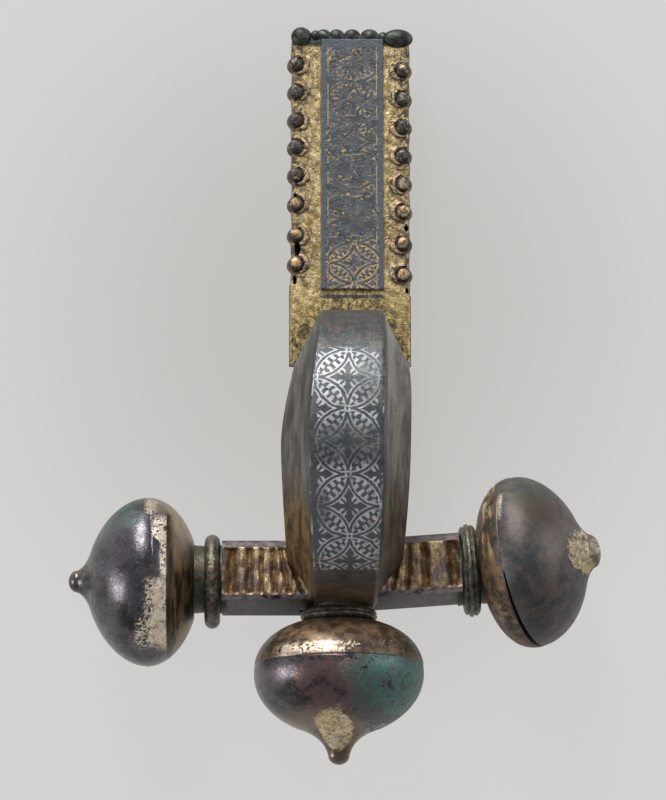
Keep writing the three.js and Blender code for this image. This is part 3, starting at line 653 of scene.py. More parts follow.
def foot_edge(y, bosses, boss_x, plain_half, shoulder, shoulder_half):
    """Half the foot's width on one side: the shoulder's or the plain edge's, and where a boss stands
    the boss's circle, |x| + sqrt(r^2 - (y - place)^2)."""
    edge = np.where(y < shoulder, shoulder_half, plain_half - 0.06 * np.sin(y * 1.3))
    for place in bosses:
        bulge = np.sqrt(np.clip(BOSS_RADIUS ** 2 - (y - place) ** 2, 0, None))
        edge = np.where(bulge > 0, np.maximum(edge, abs(boss_x) + bulge), edge)
    return edge


def foot_relief(x, y):
    """The foot's top and its relief measure: the flat, the raised panel, bosses domed as a root of
    1 - far^3, each with a disc behind it, of height root of 1 - far^6, and a low cord in half an
    ellipse from each boss to its neighbour."""
    panel = 1 - smooth(abs(x - PANEL_X), PANEL_HALF - 0.1, PANEL_HALF + 0.1)
    panel *= smooth(y, PANEL_START - 0.1, PANEL_START + 0.1)
    panel *= 1 - smooth(y, PANEL_END - 0.1, PANEL_END + 0.1)
    dome, cord = np.zeros_like(x), np.zeros_like(x)
    for bosses, boss_x in ((LEFT_BOSSES, LEFT_BOSS_X), (RIGHT_BOSSES, RIGHT_BOSS_X)):
        across = (x - boss_x) * -np.sign(boss_x)
        for number, place in enumerate(bosses):
            towards = -1 if number % 2 == 0 else 1
            far = np.hypot(x - boss_x, y - place) / BOSS_RADIUS
            dome = np.maximum(dome, BOSS_RISE * np.sqrt(np.clip(1 - far ** 3, 0, 1)))
            disc = np.hypot(across - 0.5, y - place - 0.12 * towards) / DISC_RADIUS
            disc = disc + 0.05 * np.sin(y * 5 + x * 3)
            groove = smooth(far, 1.04, 1.22)
            cord = np.maximum(cord, DISC_RISE * np.sqrt(np.clip(1 - disc ** 6, 0, 1)) * groove)
        for upper, lower in zip(bosses[::2], bosses[1::2]):
            middle, half = (upper + lower) / 2, (upper - lower) / 2
            far = np.hypot(across / 2.1, (y - middle) / (half + 0.8)) - 1
            ridge = CORD_RISE * np.sqrt(np.clip(1 - (far * 2.1 / 0.2) ** 2, 0, 1)) * smooth(across, 0.0, 0.8)
            cord = np.maximum(cord, ridge)
    cord = np.where(dome > 0.02, 0, cord)
    z = FOOT_TOP + PANEL_RISE * panel + np.maximum(dome, cord)
    z += 0.03 * np.sin(x * 3.1 + y * 1.7) * np.sin(y * 2.9 - x) * (1 - panel)
    for px, py, wide, tall in PIERCED:
        z -= 1.5 * (1 - smooth(np.hypot((x - px) / wide, (y - py) / tall), 0.75, 1.1))
    return z, dome - cord


def foot_plate():
    """The plate: at each stop along y its top from the left edge to the right, the rounded right
    edge, the flat underside, and the left edge."""
    y = np.linspace(FOOT_START, FOOT_END, 440)[:, None]
    left = foot_edge(y, LEFT_BOSSES, LEFT_BOSS_X, 7.35, 37.1, 7.58)
    right = foot_edge(y, RIGHT_BOSSES, RIGHT_BOSS_X, 7.28, 35.7, 7.4)
    x = mixed(-left, right, np.linspace(0, 1, 156))
    z, relief = foot_relief(x, y + 0 * x)
    worn = smooth(np.minimum(x + left, right - x), 0.0, 0.35)
    z -= 0.22 * (1 - worn) ** 2
    down = np.linspace(0, 1, 8)[1:-1]
    bulge = 0.12 * np.sin(np.pi * down)
    right_x, left_x = right + bulge, -left - bulge
    under_x = mixed(-left, right, np.linspace(1, 0, 14))
    xs = np.concatenate([x, right_x, under_x, left_x[:, ::-1]], 1)
    zs = np.concatenate([z, mixed(z[:, -1:], FOOT_BOTTOM, down), np.full_like(under_x, FOOT_BOTTOM),
                         mixed(z[:, :1], FOOT_BOTTOM, down)[:, ::-1]], 1)
    marks = np.concatenate([relief, np.full_like(xs[:, x.shape[1]:], -5.0)], 1)
    return np.stack([xs + FOOT_MIDDLE_X, y + 0 * xs, zs], -1), np.stack([xs, y + 0 * xs, marks], -1)


def ball(place, radii, count=32):
    """An ellipsoid with a hair wide flat at each pole: (a cos t, b sin t cos s, c sin t sin s)."""
    t = np.linspace(0.01, np.pi - 0.01, count // 2)
    return turned(np.sin(t), np.cos(t), count) * radii + place


def sheath_skin(flat, places, counts):
    """An outline of (x from the foot's middle, z) corners carried along y."""
    corners = carried(flat, places, lambda y, x, z: (0 * y + x + FOOT_MIDDLE_X, y, 0 * y + z))
    return outline(corners, counts, 1)


plate, plate_own = foot_plate()
# The sheath inside and out, open along half of its underside, and the slab that closes its end
slab_side = [(-SHEATH_HALF, SHEATH_BOTTOM), (SHEATH_HALF, SHEATH_BOTTOM),
             (SHEATH_HALF, SHEATH_TOP), (-SHEATH_HALF, SHEATH_TOP)]
sheath_side = [(SHEATH_SLIT, SHEATH_FLOOR), (-SHEATH_INNER, SHEATH_FLOOR), (-SHEATH_INNER, SHEATH_ROOF),
               (SHEATH_INNER, SHEATH_ROOF), (SHEATH_INNER, SHEATH_BOTTOM), *slab_side[1:],
               slab_side[0], (SHEATH_SLIT, SHEATH_BOTTOM)]
sheath = sheath_skin(sheath_side, np.linspace(SHEATH_START, SHEATH_LAST, 60),
                     [8, 10, 14, 12, 4, 12, 20, 12, 10, 3])
slab = sheath_skin(slab_side, np.linspace(SHEATH_LAST - 0.1, SHEATH_END, 6), [12, 10, 12, 10])
end_balls = [ball((-5.4, 69.05, 0.75), (1.3, 1.25, 0.95)), ball((6.75, 68.8, 0.75), (1.9, 1.25, 0.95)),
             ball((-3.6, 69.2, 0.55), (0.7, 0.75, 0.8), 24), ball((4.9, 69.0, 0.55), (0.7, 0.75, 0.8), 24)]
end_balls += [ball((x, 69.15, 0.45), (wide, 0.98, 0.85), 24)
              for x, wide in ((-2.6, 1.0), (-0.95, 1.05), (1.0, 1.1), (3.2, 1.2))]
piece("foot", "brooch", "brooch_casting",
      [(plate, plate_own, 0, False), (sheath, 0, 1, False), (slab, 0, 1, False)]
      + [(skin, 0, 2, False) for skin in end_balls],
      [foot_finish(), sheath_finish(), end_knob_finish()])

# ---- the rings ----
# A bronze ring is slid over each neck, between the bar and the knob: a plain bead on the left, and
# one with grooves cut round it on the right and at the head. They are blue green and brown, with a
# little gold rubbed through on the bead.
RING_BEAD, RING_GROOVE, RING_BORE, HEAD_RING_BORE = 0.95, 0.22, 4.1, 3.2
LEFT_RING_RADIUS, RIGHT_RING_RADIUS, HEAD_RING_RADIUS = 5.8, 5.75, 4.75


def ring_finish():
    """Its measures: along the axis, and the height above the ring's hollows twice."""
    f = Finish("ring_bronze")
    fine, blotch, patch = f.noise(0.35, 4, seed=51), f.noise(0.9, 5, seed=52), f.noise(2.2, 4, seed=53)
    high = f.step(f.y + (fine - 0.5) * 0.3, 0.1, 0.45)
    low = f.mottle(blotch, 0.4, 0.56, (52, 48, 42), (62, 88, 86))
    bead = f.mottle(blotch, 0.42, 0.6, (74, 68, 60), (118, 104, 90))
    bead = f.mottle(patch, 0.5, 0.58, bead, (70, 84, 80), 0.8)
    bead = f.mottle(fine * 0.6 + patch * 0.5, 0.6, 0.66, bead, (170, 148, 112), 0.8)
    height = fine * 0.09 + blotch * 0.08
    return f.done(f.blend(high, low, bead), 0.55 + high * 0.15, 0.32 + fine * 0.14, height)


def ring(width, inner, outer, grooves):
    """A collar round the x axis, a bead of half an ellipse, sqrt(1 - s^2) for s from -1 to 1 across
    it, with narrow grooves cut where s says. Also its measures for the finish."""
    share = np.linspace(0, 1, 90)
    across = 2 * share - 1
    radii = outer - RING_BEAD + RING_BEAD * np.sqrt(1 - across ** 2)
    for place in grooves:
        radii = radii - RING_GROOVE * np.exp(-((across - place) / 0.13) ** 2)
    radii = np.concatenate([[inner], radii, [inner]])
    places = np.concatenate([[-width / 2], (share - 0.5) * width, [width / 2]])
    skin = turned(radii, places, 180)
    height = np.maximum(radii - outer + 0.6, 0)[:, None] + 0 * skin[..., 0]
    return skin, np.stack([skin[..., 0], height, height], -1)


bronze = ring_finish()
left_ring, left_own = ring(RING_WIDTH + 0.1, RING_BORE, LEFT_RING_RADIUS, ())
right_ring, right_own = ring(RING_WIDTH + 0.25, RING_BORE, RIGHT_RING_RADIUS, (-0.5, 0.25))
head_ring, head_own = ring(HEAD_RING_WIDTH + 0.2, HEAD_RING_BORE, HEAD_RING_RADIUS, (-0.1,))
rings = (("left", left_ring * [-1, 1, 1] + [-BAR_LEFT_END - GAP - RING_WIDTH / 2, LEFT_KNOB_Y, 0], left_own),
         ("right", about_z(right_ring + [BAR_RIGHT_END + GAP + RING_WIDTH / 2, 0, 0], BAR_TURN), right_own),
         ("head", about_z(head_ring, -math.pi / 2)
          + [HEAD_NECK_X, BOW_HEAD_Y - GAP - HEAD_RING_WIDTH / 2, HEAD_NECK_Z], head_own))
for name, skin, own in rings:
    piece("collar_" + name, "brooch", "ring_" + name, [(skin, own, 0, True)], [bronze])

# ---- the knobs ----
# Three hollow onions, each raised from two sheets of gilded copper and joined at the widest place.
# Most of the gilding is gone from the front halves, which are dark, red and green with patina. The
# right knob is knocked askew, its seam gapes below, and its tip is broken off.
SIDE_KNOB = dict(radius=10.37, back=6.6, back_power=2.0, neck=4.7, front=7.5, front_power=1.85, nipple=0.9,
                 flare_start=6.75, flare_length=0.95, tip=9.6)
RIGHT_KNOB = dict(SIDE_KNOB, radius=10.52, back=6.0, back_power=2.2, front_power=1.95, nipple=1.45, tip=9.25)
HEAD_KNOB = dict(radius=10.48, back=6.9, back_power=2.3, neck=4.3, front=7.7, front_power=2.0, nipple=0.95,
                 flare_start=6.6, flare_length=1.45, tip=11.2)
KNOB_TURN, KNOB_LIFT = math.radians(4.5), math.radians(8.0)


def knob_line(radius, back, back_power, neck, front, front_power, nipple, flare_start, flare_length, tip):
    """An onion's outline, [radius, distance from the widest place]: a superellipse behind and one in
    front, then a tip that thins as exp(-s / flare length) and ends in a quarter ellipse."""
    turn = math.acos(neck / radius) * np.linspace(1, 0, 60)
    rear = np.stack([radius * np.cos(turn) ** (2 / back_power), -back * np.sin(turn) ** (2 / back_power)], -1)
    turn = math.asin((flare_start / front) ** (front_power / 2)) * np.linspace(0, 1, 80)[1:]
    power = 2 / front_power
    fore = np.stack([radius * np.cos(turn) ** power, front * np.sin(turn) ** power], -1)
    s = (tip - 1.1 - flare_start) * np.linspace(0, 1, 50)[1:]
    thin = np.stack([nipple + (fore[-1, 0] - nipple) * np.exp(-s / flare_length), flare_start + s], -1)
    turn = np.radians(np.linspace(0, 90, 20))[1:]
    end = np.stack([thin[-1, 0] * np.cos(turn) + 0.002, thin[-1, 1] + 1.1 * np.sin(turn)], -1)
    line = np.concatenate([rear, fore, thin, end])
    way = np.concatenate([[0], np.cumsum(np.hypot(*np.diff(line, axis=0).T))])
    stops = np.linspace(0, way[-1], 330)
    return np.stack([np.interp(stops, way, line[:, 0]), np.interp(stops, way, line[:, 1])], -1)


def onion(shape, seam_place, seam_lean, dent_seed, gape=0.0):
    """A knob with its tip along +x, measured from its widest place, and the distance from there to
    its flat back. The radius is eased by a few slow waves for its dents, and drops into a groove
    along the seam, x + lean z = place, which gapes on the side of -y where the knob is sprung."""
    line = knob_line(**shape)
    skin = turned(line[:, 0], line[:, 1], 270)
    x, y, z = np.moveaxis(skin, -1, 0)
    waves = np.random.default_rng(dent_seed).uniform(-1, 1, (7, 5))
    dents = sum(0.028 * np.sin(a * x * 0.5 + b * y * 0.42 + c * z * 0.42 + d * 6) * (1 + e)
                for a, b, c, d, e in waves)
    away = x + seam_lean * z - seam_place
    groove = 0.09 * np.exp(-(away / 0.09) ** 2)
    open_side = smooth(-y, 1.0, 8.5) * gape
    past_gap = smooth(abs(away), open_side * 0.5, open_side * 0.5 + 0.08)
    groove = groove + 1.3 * (open_side > 0.02) * (1 - past_gap)
    lip = 0.05 * smooth(away, 0.0, 0.15)
    shrink = 1 + (dents * smooth(line[:, 0], 0.5, 5.0)[:, None] - groove - lip) / np.maximum(line[:, :1], 1.5)
    return np.stack([x, y * shrink, z * shrink], -1), -line[0, 1]


def knob_finish(name, paint):
    """The finish that the knobs share: dark metal, then what paint makes of it. Paint gets the finish,
    its noises and the dark colour, and gives the colour, the share of gold and the share of crust."""
    f = Finish(name)
    fine, blotch, cloud = f.noise(0.32, 5, seed=61), f.noise(1.3, 5, seed=62), f.noise(4.0, 4, seed=63)
    dark = f.mottle(cloud, 0.38, 0.62, (58, 55, 58), (96, 92, 98))
    dark = f.mottle(blotch, 0.5, 0.64, dark, (84, 86, 92), 0.5)
    dark = f.mottle(fine, 0.54, 0.66, dark, (58, 50, 48), 0.6)
    dark = f.mottle(f.noise(0.8, 5, seed=64), 0.54, 0.64, dark, (112, 106, 108), 0.5)
    colour, gold, crust = paint(f, fine, blotch, cloud, dark)
    rough = 0.2 + fine * 0.16 + crust * 0.26 + gold * 0.12
    height = fine * 0.02 + blotch * 0.04 + gold * 0.02 + crust * 0.03
    return f.done(colour, 0.75 - gold * 0.3 - crust * 0.3, rough, height, 0.012)


def paint_left(f, fine, blotch, cloud, dark):
    """A gold band ends straight behind the seam and frays in front of it, widest low down. The upper
    back and the top are painted pale: a painted highlight.
    """
    frayed = f.noise(0.7, 5, seed=71)
    back = f.step(f.x, -2.55, -2.7)
    streaks = f.noise(0.6, 5, (1, 6, 6), own=True, seed=72)
    brown = f.mottle(streaks, 0.42, 0.6, (48, 41, 36), (128, 102, 72))
    # Painted highlight: the upper part of the back is painted pale.
    pale = f.blend(streaks, (106, 88, 66), (186, 170, 146))
    brown = f.blend(f.step(f.x, -2.9, -3.6) * f.step(f.y, -1.0, 6.5), brown, pale)
    brown = f.blend(f.band(f.x, -3.3, -2.3, 0.3) * f.step(f.y, 7.0, 4.0) * 0.7, brown, (44, 47, 42))
    ragged = (frayed - 0.5) * 2.0
    # Painted highlight: a pale patch over the top, behind the seam.
    painted_top_highlight = f.step(f.y + ragged, 7.2, 8.0) * f.step(f.x + ragged, 0.4, -0.2)
    colour = f.blend(painted_top_highlight * 0.8, f.blend(back, dark, brown), f.blend(blotch, (112, 94, 74), (186, 166, 140)))
    rag = (frayed - 0.5) * 2.6 + (fine - 0.5) * 2.0
    low = f.step(f.y + rag * 0.6, -0.6, -2.2) * f.step(f.y + rag * 0.7, -9.3, -8.2)
    wide = f.step(f.y, -4.2, -7.4) * 1.3
    full = low * f.step(f.x + rag * 0.4 - wide * 0.4, -0.95, -1.3)
    flecked = low * f.step(f.x + rag - wide, 0.3, -0.5) * f.step(fine, 0.44, 0.54)
    narrow = -1.9 + f.step(f.y + rag * 0.5, 3.2, 4.4) * 0.9
    thin = f.step(f.y, -1.6, -0.2) * f.step(f.x + rag * 0.5 - narrow, 0.15, -0.15)
    thin = thin * f.step(f.y + rag * 1.1, 7.6, 6.4) * f.step(frayed * 0.6 + fine * 0.4, 0.43, 0.49)
    high = f.spot(-0.7, 8.4, 0.8, 1.6, 0.8) * f.step(frayed, 0.46, 0.56)
    gold = f.most(f.most(full, flecked), f.most(thin, high * 0.5)) * (1 - back)
    gold = gold * (1 - f.step(frayed * 0.6 + fine * 0.6, 0.66, 0.72) * 0.9)
    leaf = f.mottle(blotch * 0.6 + fine * 0.4, 0.4, 0.6, (222, 198, 168), (255, 246, 226))
    colour = f.blend(gold, colour, leaf)
    green = f.spot(2.8, 7.6, 2.4, 2.4, 0.9) * f.step(blotch * 0.6 + frayed * 0.4, 0.42, 0.56)
    green = green * (1 - back) * (1 - gold)
    colour = f.blend(green * 0.7, colour, (60, 92, 84))
    tip = f.spot(7.9, 1.2, 1.2, 1.0, 0.6) * f.step(fine, 0.5, 0.6)
    return f.blend(tip * 0.45, colour, (156, 138, 98)), f.most(gold, back * 0.5), green


def paint_head(f, fine, blotch, cloud, dark):
    """A gold band behind the seam, a big green patch to the right, a red one left of it, and gold
    left on the tip."""
    frayed = f.noise(0.7, 5, seed=81)
    rag = (frayed - 0.5) * 2.4 + (fine - 0.5) * 1.6
    back = f.step(f.x + rag * 0.6 * f.step(f.y, 0.0, 3.0), -1.0, -1.3)
    brown = f.mottle(blotch * 0.6 + fine * 0.4, 0.42, 0.6, (64, 52, 42), (112, 94, 72))
    leaf = f.band(f.x + rag * 0.5 + f.step(f.y, -1.0, 4.0) * 0.5, -2.5, -1.2, 0.5) * f.step(f.y, -8.6, -6.0)
    missing = f.step(f.y + (cloud - 0.5) * 6.0, -1.5, 3.0) * 0.17
    leaf = leaf * f.step(frayed * 0.6 + fine * 0.5 - missing, 0.45, 0.53) * f.step(f.y, 9.2, 8.2)
    middle = f.mottle(blotch, 0.4, 0.62, (84, 68, 52), (140, 116, 86))
    far_back = f.mottle(f.x + rag * 0.5, -3.0, -4.2, brown, middle)
    far_back = f.mottle(f.x + (blotch - 0.5) * 3.0, -4.0, -6.2, far_back, (62, 50, 42), 0.7)
    dimmed = f.step(blotch * 0.5 + cloud * 0.3 + f.step(f.y, -2.0, 5.0) * 0.2, 0.44, 0.6) * 0.75
    bright = f.mottle(blotch * 0.6 + fine * 0.4, 0.4, 0.6, (202, 180, 156), (250, 234, 210))
    metal = f.blend(dimmed, bright, (138, 114, 90))
    colour = f.blend(back, dark, f.blend(leaf, far_back, metal))
    red_area = f.spot(2.4, -1.0, 4.6, 4.2, 0.9) + rag * 1.0 + (cloud - 0.5) * 2.0 + (blotch - 0.5) * 2.0
    red_area = f.step(red_area, 0.35, 0.7) * (1 - back)
    colour = f.blend(red_area * f.step(frayed * 0.5 + cloud * 0.5, 0.36, 0.56) * 0.75, colour, (122, 94, 90))
    low_brown = f.step(f.x + rag * 0.8, 4.6, 6.6) * (1 - back)
    colour = f.blend(low_brown * 0.7, colour, f.blend(fine, (84, 72, 60), (138, 120, 96)))
    near = f.spot(2.4, 6.2, 5.2, 6.2, 0.9) + (cloud - 0.5) * 2.2 + rag * 1.2
    wander = (blotch - 0.5) * 5.0 + (cloud - 0.5) * 7.0
    near = f.step(near, 0.4, 0.65) * (1 - back) * f.step(f.y + rag * 0.8 + wander, -0.1, 2.2)
    strong = f.step(f.spot(1.4, 6.6, 4.2, 4.2, 0.9) + rag * 1.6 + (blotch - 0.5) * 5.0, 0.3, 0.9)
    crust = f.blend(strong, (80, 92, 90), (76, 122, 114))
    crust = f.mottle(fine * 0.4 + frayed * 0.4 + blotch * 0.3, 0.55, 0.62, crust, (88, 78, 76), 0.75)
    colour = f.blend(near * 0.85, colour, crust)
    far = f.spot(8.1, -0.5, 2.6, 2.7, 0.8) + rag * 0.5 + (cloud - 0.5) * 1.6 + (blotch - 0.5) * 1.8
    far = f.step(far, 0.35, 0.5) * f.step(abs(f.y + 0.2) + rag * 0.35 - (10.0 - f.x) * 0.72, 0.5, 0.0)
    far = far * f.step(f.x + rag * 0.5, 4.6, 5.4)
    tip = far * f.step(f.x + rag * 0.2, 9.9, 9.3) * (1 - f.step(fine * 0.7 + frayed * 0.5, 0.64, 0.7) * 0.75)
    pale = f.mottle(frayed * 0.5 + cloud * 0.5, 0.36, 0.64, (228, 208, 174), (190, 168, 118))
    pale = f.mottle(fine * 0.4 + blotch * 0.6, 0.46, 0.66, pale, (136, 114, 88), 0.6)
    colour = f.blend(tip * f.step(f.z, -1.5, 0.0), colour, pale)
    colour = f.mottle(f.x, 9.8, 10.4, colour, f.blend(fine, (84, 78, 72), (124, 114, 102)))
    dulled = back * f.step(f.y, -3.0, 3.0) * 0.5
    return colour, f.most(f.most(tip, leaf * back), back * 0.5), f.most(near * (1 - strong * 0.3), dulled)


def paint_right(f, fine, blotch, cloud, dark):
    """Gold streaks behind the seam with a painted highlight on the seam's lip, green and red patches on
    top, buff metal round the broken tip.
    """
    frayed = f.noise(0.7, 5, seed=91)
    away = f.x + f.z * 0.235
    back = f.step(away + (frayed - 0.5) * 2.5 + (fine - 0.5) * 1.5, -0.2, -0.7)
    dull = f.mottle(cloud * 0.5 + blotch * 0.5, 0.42, 0.58, (66, 66, 70), (96, 86, 82))
    dull = f.mottle(frayed, 0.54, 0.66, dull, (78, 92, 84), 0.6)
    dull = f.mottle(fine * 0.6 + cloud * 0.4, 0.54, 0.64, dull, (112, 96, 86), 0.6)
    streaks = f.step(f.noise(0.7, 5, (1, 5, 5), own=True, seed=92), 0.5, 0.6)
    brown = f.mottle(blotch, 0.4, 0.62, (58, 50, 42), (116, 88, 60))
    gold = back * streaks * f.step(away, -0.5, -1.3) * f.step(f.z, -3.0, 2.0) * f.step(f.y, -1.0, 1.5)
    # Gold on the seam's lip, high up, with a painted highlight on it: a near white streak.
    painted_seam_glint = f.band(away, 0.15, 0.5, 0.25) * f.spot(-2.0, 6.2, 1.6, 1.5, 0.95)
    painted_seam_glint = painted_seam_glint * f.step(fine * 0.6 + frayed * 0.4, 0.34, 0.56)
    gold = f.most(gold, painted_seam_glint)
    scraps = f.spot(-2.9, -6.6, 1.4, 2.4, 0.8) * f.step(fine * 0.6 + blotch * 0.5, 0.54, 0.66)
    gold = f.most(gold, scraps * back * 0.6)
    colour = f.blend(back, dull, brown)
    colour = f.blend(gold * 0.9, colour, f.blend(blotch, (138, 114, 78), (226, 204, 164)))
    # The painted highlight on the seam's lip.
    colour = f.blend(painted_seam_glint * 0.8, colour, (250, 238, 214))
    green = f.spot(2.95, 7.4, 3.0, 2.0, 0.9) * (1 - back) * f.step(blotch, 0.3, 0.55)
    colour = f.blend(green * 0.7, colour, (74, 90, 70))
    red = f.spot(2.6, 5.0, 2.9, 1.9, 0.9) * (1 - back) * f.step(frayed * 0.5 + blotch * 0.5, 0.36, 0.5)
    colour = f.blend(red * 0.6, colour, (104, 80, 64))
    # Painted shade: a dark patch over the front's upper part.
    colour = f.blend(f.spot(2.2, 4.6, 3.2, 3.8, 0.9) * (1 - back) * 0.55, colour, (46, 44, 42))
    buff = f.spot(7.3, -0.4, 1.6, 2.5, 0.7) + (frayed - 0.5) * 1.4
    buff = buff + (blotch - 0.5) * 1.6 + (cloud - 0.5) * 1.0
    ragged = (frayed - 0.5) * 2.4 + (fine - 0.5) * 1.2
    buff = f.step(buff, 0.36, 0.5) * f.step(f.z, -0.2, 1.0) * f.step(f.x, 8.7, 8.2)
    buff = buff * f.step(f.spot(7.6, -0.6, 1.9, 2.9, 0.9) + ragged, 0.3, 0.6)
    buff = buff * f.spot(7.5, -0.5, 2.6, 3.6, 0.2)
    buff = buff * (1 - f.step(fine * 0.5 + blotch * 0.6, 0.56, 0.64) * 0.75)
    pale = f.mottle(blotch * 0.5 + frayed * 0.5, 0.4, 0.58, (112, 94, 74), (206, 188, 158))
    pale = f.mottle(f.y + ragged * 0.5, -1.4, -2.2, pale, (196, 182, 128), 0.6)
    colour = f.blend(buff, colour, pale)
    tip = f.step(f.x, 7.6, 8.6) * (1 - buff)
    colour = f.blend(tip * 0.8, colour, f.blend(fine, (86, 74, 62), (140, 122, 98)))
    rim = f.band(f.x, 8.95, 9.3, 0.1)
    colour = f.blend(rim * 0.8, colour, f.blend(fine, (110, 104, 98), (176, 168, 156)))
    colour = f.mottle(f.x, 9.3, 9.4, colour, f.mottle(fine, 0.4, 0.6, (96, 78, 62), (140, 120, 96)))
    return colour, f.most(gold, back * 0.4), f.least(0.85 + green * 0.3 + buff * 0.5, 1.0) * (1 - gold)


left_skin, left_back = onion(SIDE_KNOB, 0.0, 0.084, 1)
head_skin, _ = onion(HEAD_KNOB, -1.1, 0.0, 2)
right_skin, right_back = onion(RIGHT_KNOB, 0.0, 0.235, 3, 0.3)
left_own, head_own, right_own = left_skin.copy(), head_skin.copy(), right_skin.copy()
# The right tip is broken off aslant, high on its outer side: what stands beyond a tilted, uneven
# plane is pushed back to it, and within the broken wall a little further
BREAK_WAY, BREAK_PLACE, STUB = np.array([0.638, 0.469, 0.610]), 6.22, 2.2
x, y, z = np.moveaxis(right_skin, -1, 0)
past = right_skin @ BREAK_WAY - BREAK_PLACE + 0.06 * np.sin(y * 4 + z * 3)
beyond = (np.hypot(y, z) < STUB) & (past > 0)
crater = 0.4 * (1 - smooth(np.hypot(y - 0.5, z - 0.6), 0.45, 0.8)) + past / BREAK_WAY[0]
right_skin[..., 0] -= np.where(beyond, crater, 0)
left_knob = (left_skin + [left_back, 0, 0]) * [-1, 1, 1] + [-LEFT_NECK_END, LEFT_KNOB_Y, 0]
head_knob = about_z(head_skin, -math.pi / 2) + [HEAD_NECK_X, HEAD_KNOB_Y, HEAD_NECK_Z]
askew = np.array(Matrix.Rotation(KNOB_TURN, 3, "Z") @ Matrix.Rotation(-KNOB_LIFT, 3, "Y"))
right_knob = about_z((right_skin + [right_back, 0, 0]) @ askew.T + [RIGHT_NECK_END, 0, 0], BAR_TURN)
knobs = (("left", left_knob, left_own, paint_left), ("right", right_knob, right_own, paint_right),
         ("head", head_knob, head_own, paint_head))
for name, skin, own, paint in knobs:
    piece("onion_" + name, "brooch", "knob_" + name, [(skin, own, 0, False)],
          [knob_finish("knob_metal_" + name, paint)])

# ---- the pin ----
# The pin turns on a rod inside the crossbar and its point lies in the sheath. It isn't seen from
# the front; it is plain bronze wire with a flattened eye.
EYE_RADIUS, EYE_WALL, EYE_HALF_WIDTH = 1.3, 0.4, 0.9
# The wire's radius at places along the brooch, to its point
PIN_PLACES, PIN_RADII = (0, 46.0, 59.5, 63.2, 63.45), (0.8, 0.8, 0.48, 0.17, 0.03)


def pin_finish():
    """Plain brown bronze with green patches."""
    f = Finish("plain_bronze")
    fine, blotch = f.noise(0.4, 4, seed=101), f.noise(2.5, 4, seed=102)
    colour = f.mottle(blotch, 0.38, 0.62, (78, 62, 44), (124, 102, 70))
    colour = f.mottle(fine, 0.58, 0.68, colour, (66, 80, 68))
    return f.done(colour, 0.7, 0.38 + fine * 0.12, fine * 0.03)


def pin_eye():
    """A flattened ring: a superellipse of power 4 carried round the rod."""
    round_rod = np.linspace(0, 2 * np.pi, 72, endpoint=False)[:, None]
    bead = np.linspace(0, 2 * np.pi, 32, endpoint=False)
    wide = np.sign(np.sin(bead)) * np.sqrt(np.abs(np.sin(bead))) * EYE_HALF_WIDTH
    radius = EYE_RADIUS + np.sign(np.cos(bead)) * np.sqrt(np.abs(np.cos(bead))) * EYE_WALL
    return np.stack([wide + 0 * round_rod, HINGE_Y + radius * np.cos(round_rod),
                     HINGE_Z + radius * np.sin(round_rod)], -1)


def pin_wire():
    """The wire: even as far as the sheath, then tapering, with a rounded point."""
    places = np.linspace(HINGE_Y + EYE_RADIUS, PIN_PLACES[-1], 120)
    radii = np.interp(places, PIN_PLACES, PIN_RADII)
    return about_z(turned(radii, places, 28), math.pi / 2) + [0, 0, HINGE_Z]


piece("pin_wire", "pin", "pin",
      [(pin_eye(), 0, 0, True), (pin_wire(), 0, 0, False)], [pin_finish()])

# ---- floor, light and camera ----
# A pale light table, which hardly shows a shadow, with a soft painted shadow round the brooch's
# middle, a tall soft lamp beyond the foot and a weak one on either side, and a camera that looks
# almost straight down.
FLOOR_REACH = 3.0
# The first table colour is the dimmer glow near the brooch, a painted shadow; the second is the glow further
# out.
TABLE_PAINTED_SHADOW, TABLE_FAR = (0.500, 0.493, 0.476, 1), (0.612, 0.606, 0.592, 1)
CAMERA_DISTANCE, CAMERA_AIM, CAMERA_SHIFT = 0.60598, (0.0, 0.0, 0.010), (-0.000296, -0.001289)
CAMERA_AZIMUTH, CAMERA_ELEVATION, CAMERA_ROLL = np.radians([-0.523, 82.946, 0.539])
LENS_LENGTH, FILM_WIDTH = 219.8, 36


def floor_finish():
    """A table lit from below, with a painted shadow: less bright near the brooch's middle than further
    out.
    """
    f = Finish("pale_table", Base_Color=(0.05, 0.05, 0.05, 1), Roughness=0.9, Specular_IOR_Level=0.0,
               Emission_Strength=1.0)
    place = f.node("VectorMath", {"operation": "DISTANCE"}, {0: f.where, 1: (0.0, 0.012, 0.0)})
    far = f.step(Value(f, place.outputs["Value"]), 0.012, 0.058)
    glow = f.node("Mix", {"data_type": "RGBA"}, {0: far, 6: TABLE_PAINTED_SHADOW, 7: TABLE_FAR})
    f.feed(f.surface.inputs["Emission Color"], glow.outputs[2])
    return f


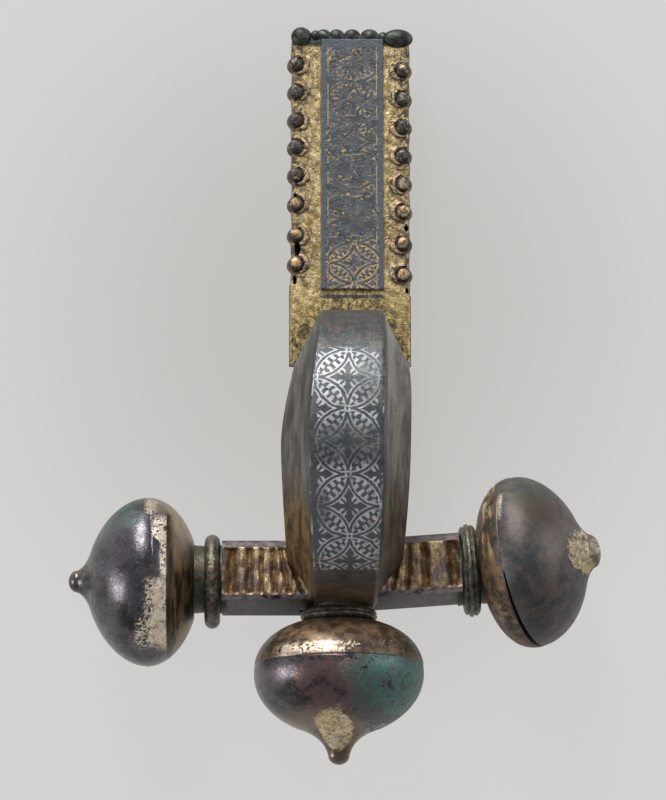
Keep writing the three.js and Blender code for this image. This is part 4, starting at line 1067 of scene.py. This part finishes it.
floor_mesh = bpy.data.meshes.new("floor")
floor_mesh.from_pydata([(-FLOOR_REACH, -FLOOR_REACH, 0), (FLOOR_REACH, -FLOOR_REACH, 0),
                        (FLOOR_REACH, FLOOR_REACH, 0), (-FLOOR_REACH, FLOOR_REACH, 0)], [], [(0, 1, 2, 3)])
floor_mesh.materials.append(floor_finish().material)
floor = bpy.data.objects.new("floor", floor_mesh)
bpy.context.scene.collection.objects.link(floor)

world = bpy.data.worlds.new("studio")
bpy.context.scene.world = world
world.use_nodes = True
world.node_tree.nodes["Background"].inputs["Color"].default_value = (0.30, 0.30, 0.31, 1)
world.node_tree.nodes["Background"].inputs["Strength"].default_value = 1.0


def stand(thing, side, upward, back, place):
    """Puts a lamp or camera at a place, its own axes along side, upward and back."""
    rows = np.stack([side, upward, back], 1)
    thing.matrix_world = Matrix([[*row, where] for row, where in zip(rows, place)] + [[0, 0, 0, 1]])
    bpy.context.scene.collection.objects.link(thing)


def lamp(name, place, width, height, watts):
    """A soft box of a width and height, facing the brooch."""
    light = bpy.data.lights.new(name, "AREA")
    light.shape, light.size, light.size_y, light.energy = "RECTANGLE", width, height, watts
    back = unit(place)
    side = unit(np.cross([0.0, 0.0, 1.0], back))
    stand(bpy.data.objects.new(name, light), side, np.cross(back, side), back, place)


lamp("beyond_the_foot", (-0.2, 0.86, 0.48), 0.3, 0.7, 13)
lamp("low_left", (-0.95, -0.15, 0.25), 0.3, 0.35, 3.5)
lamp("low_right", (0.9, 0.35, 0.4), 0.3, 0.4, 3)

level = np.array([math.cos(CAMERA_AZIMUTH), math.sin(CAMERA_AZIMUTH), 0])
outward = np.array([math.sin(CAMERA_AZIMUTH), -math.cos(CAMERA_AZIMUTH), 0])
back = outward * math.cos(CAMERA_ELEVATION) + np.array([0, 0, math.sin(CAMERA_ELEVATION)])
steep = np.cross(back, level)
side = level * math.cos(CAMERA_ROLL) + steep * math.sin(CAMERA_ROLL)
upward = steep * math.cos(CAMERA_ROLL) - level * math.sin(CAMERA_ROLL)
camera_data = bpy.data.cameras.new("camera")
camera_data.lens, camera_data.sensor_width = LENS_LENGTH, FILM_WIDTH
camera = bpy.data.objects.new("camera", camera_data)
shift = CAMERA_SHIFT[0] * side + CAMERA_SHIFT[1] * upward
stand(camera, side, upward, back, CAMERA_AIM + back * CAMERA_DISTANCE + shift)
bpy.context.scene.camera = camera
bpy.context.scene.view_settings.view_transform = "Standard"
